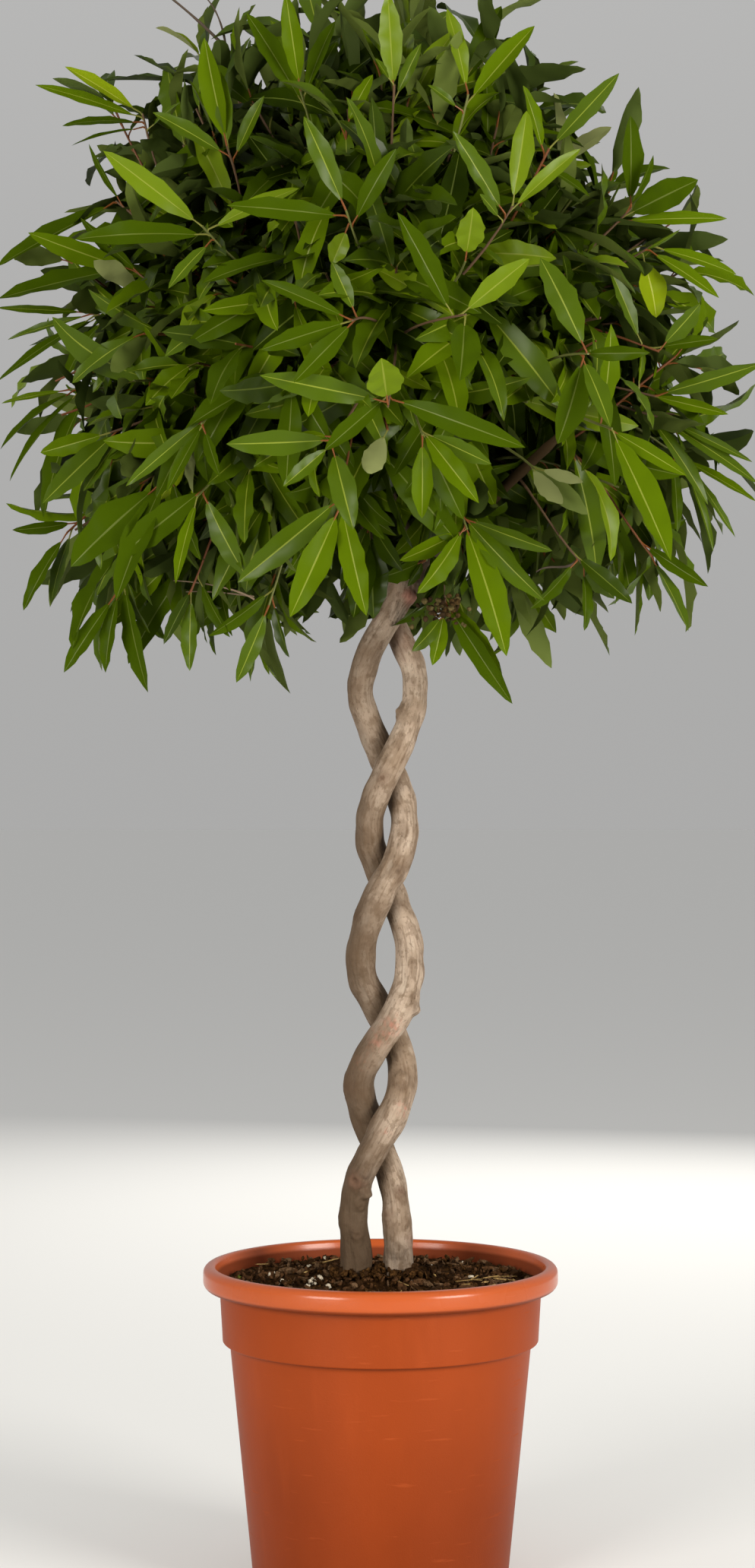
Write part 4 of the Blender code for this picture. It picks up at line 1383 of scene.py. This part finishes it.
def leaves_on(number):
    """Leaves of one shoot, as rows of numbers for grow_leaves, and their stalks."""
    run = shoot_runs[number]
    hidden = inner[number]
    gaps = np.linalg.norm(np.diff(run, axis=0), axis=1)
    total = gaps.sum()
    reach = np.concatenate(([0], np.cumsum(gaps)))
    count = rng.integers(*(INNER_LEAVES if hidden else OUTER_LEAVES))
    spacing = rng.uniform(*LEAF_GAPS)
    j = np.arange(count)
    spot = np.clip(total - 0.001 - j * spacing, 0.3 * total, total)
    at = np.stack([np.interp(spot, reach, run[:, k]) for k in range(3)], 1)
    ahead = unit(np.stack([np.interp(spot, reach, np.gradient(run[:, k])) for k in range(3)], 1))
    height = level[number]
    vigour = rng.uniform() + 0.25 * height
    across = unit(np.cross(ahead, rng.normal(size=3)))
    other = np.cross(ahead, across)
    turn = rng.uniform(0, math.tau) + j * LEAF_TURN + rng.normal(0, 0.25, count)
    round_way = across * np.cos(turn)[:, None] + other * np.sin(turn)[:, None]
    widest = np.interp(height, OPEN_LEVELS, WIDEST)
    open_angle = np.radians(np.clip(20 + 11 * j, 0, widest) + rng.normal(0, 9, count))[:, None]
    way = ahead * np.cos(open_angle) + round_way * np.sin(open_angle)
    droop = np.interp(height, DROOP_LEVELS, DROOPS) + 0.22 * rng.uniform(size=count)
    way[:, 2] -= droop
    way = unit(way)
    out = unit(at - ball_middle)
    face = ahead + out * 0.5 + np.array((0.0, 0.0, 0.35))
    face = unit(face - way * (face * way).sum(1, keepdims=True))
    roll = rng.normal(0, np.interp(height, [-1.0, 0.0], [0.65, 0.42]), count)[:, None]
    face = face * np.cos(roll) + np.cross(way, face) * np.sin(roll)
    young = np.clip(1 - j / 2.5, 0, 1) * (vigour > 0.55)
    length = rng.triangular(*LEAF_LENGTHS, count) * (1 - 0.42 * young)
    plump = rng.uniform(*PLUMPNESS, count) * (1 + 0.34 * young)
    # Painted shade and light: the base tone darkens up the ball and lightens down the skirt, as the lamps
    # fall; leaves inside the ball are darker still.
    base_tone = np.clip(rng.normal(2.2 - 0.90 * height, 0.8), 0.2, 4.2) - 1.6 * hidden
    tone = base_tone + np.clip(2.6 - 0.9 * j, 0, 3) * (vigour > 0.45) * rng.uniform(0.5, 1.0)
    tone = np.clip(np.round(tone + rng.normal(0, 0.45, count)), 0, tone_count - 1).astype(int)
    stalk = rng.uniform(*STALK_LENGTHS, count)
    foot = at + unit(way * 0.8 + ahead * 0.45) * stalk[:, None]
    return at, ahead, foot, way, face, length, length * plump, tone, np.full(count, number)


def set_leaves(number):
    """Leaves of one of the set sprays, laid out like those of leaves_on."""
    goals = np.array(SPRAYS[number][1:]) / (MM, MM, 1, 100)
    count = len(goals)
    ahead = np.repeat(unit(shoot_runs[number, -1:] - shoot_runs[number, -2:-1]), count, 0)
    at = shoot_runs[number, -1] - ahead * np.linspace(0.001, 0.014, count)[:, None]
    leaf_tips = np.stack([goals[:, 0], at[:, 1] + rng.uniform(*TIP_DEPTHS, count), goals[:, 1]], 1)
    foot = at + unit(leaf_tips - at) * SET_STALK
    arm = leaf_tips - foot
    way, length = unit(arm), np.linalg.norm(arm, axis=1)
    face = unit(at - ball_middle) + np.array(FACING) + rng.normal(0, 0.16, (count, 3))
    face *= np.sign(goals[:, 3:])
    face = unit(face - way * (face * way).sum(1, keepdims=True))
    way = unit(way + face * 0.12)
    face = unit(face - way * (face * way).sum(1, keepdims=True))
    tone = goals[:, 2].astype(int)
    half_width = length * np.abs(goals[:, 3]) * SET_WIDTH
    return at, ahead, foot, way, face, length, half_width, tone, np.full(count, number)


grown = [set_leaves(k) if k < len(SPRAYS) else leaves_on(k) for k in range(len(tips))]
grown = [np.concatenate(rows) for rows in zip(*grown)]
at, ahead, foot, way, face, length, half_width, tone, shoot = grown

# Leaves that would stand out past the outline are shortened, and the worst left out.
tip_arm = foot + way * length[:, None] - ball_middle
chosen = shoot < len(SPRAYS)
room = rng.uniform(*LOOSENESS, len(tips))[shoot] + LONG_ROOM * long[shoot] + chosen
over = np.linalg.norm(tip_arm, axis=1) - outline(unit(tip_arm)) - room
shorten = 1 - np.clip(over, 0, None) / np.clip((way * unit(tip_arm)).sum(1), 0.3, 1) / length
shorten = np.clip(shorten, 0, 1)
length, half_width = length * shorten, half_width * shorten**0.5
middle = foot + way * (length * 0.5)[:, None]
axis_gap = np.hypot(middle[:, 0] - STEM_AXIS_X, middle[:, 1])
in_stem_room = (axis_gap < STEM_ROOM[0]) & (middle[:, 2] < STEM_ROOM[1])
aside = middle[:, None] - middle[chosen][None]
in_front = aside[..., 1] < HIDING_DEPTH
hides = ((np.hypot(aside[..., 0], aside[..., 2]) < HIDING_REACH) & in_front).any(1)
open_air = clear_of_openings(middle) & clear_of_openings(foot + way * length[:, None])
fine = (shorten > LEAST_LEAF) & open_air & ~in_stem_room & ~hides | chosen
at, ahead, foot, way, face, length, half_width, tone, shoot, chosen = (x[fine] for x in (
    at, ahead, foot, way, face, length, half_width, tone, shoot, chosen))

count = len(foot)
corners = grow_leaves(
    foot, way, face, length, half_width,
    curl=rng.uniform(0.10, np.where(chosen, 0.45, 1.15)),
    fold=rng.uniform(0.16, 0.60, count),
    twist=rng.normal(0, np.where(chosen, 0.10, 0.30)),
    wave=half_width * rng.uniform(0.06, np.where(chosen, 0.15, 0.23)),
    phase=np.stack([rng.uniform(0, 1, count), rng.uniform(2.0, 3.6, count)], 1),
)
names = list(mass_middles)
mass_of = np.array([
    ((np.array([mass_middles[name] for name in names]) - spot) ** 2).sum(1).argmin() for spot in tips
])[shoot]
for k, name in enumerate(names):
    mine = mass_of == k
    piece_name = name.replace("foliage", "leaves")
    mesh = joined(piece_name, corners[mine], leaf_faces, kinds_for(tone[mine]))
    piece_of(piece_name, mesh, leaf_finishes, "leaves", name, crease=55)

shoot_kinds = rng.choice([0, 1, 2], len(tips), p=[0.55, 0.25, 0.20])
shoot_thick, shoot_thin = (np.full(len(tips), radius) for radius in SHOOT_RADII)
twigs_along("shoots", shoot_runs, shoot_thick, shoot_thin, 7, young_wood, shoot_kinds)
stalk_finishes = [
    Finish("red leaf stalk", (0.165, 0.052, 0.011), 0.5, WOOD_SHEEN),
    Finish("green leaf stalk", (0.15, 0.15, 0.025), 0.5, WOOD_SHEEN),
]
stalk_ends = foot + way * (length * 0.04)[:, None]
stalk_runs = bend(at - ahead * 0.001, ahead, stalk_ends, way, 4, 0.3, 0.3)
stalk_kinds = (rng.uniform(size=count) < 0.35).astype(int)
stalk_thick, stalk_thin = (np.full(count, radius) for radius in STALK_RADII)
twigs_along("leaf_stalks", stalk_runs, stalk_thick, stalk_thin, 4, stalk_finishes, stalk_kinds)
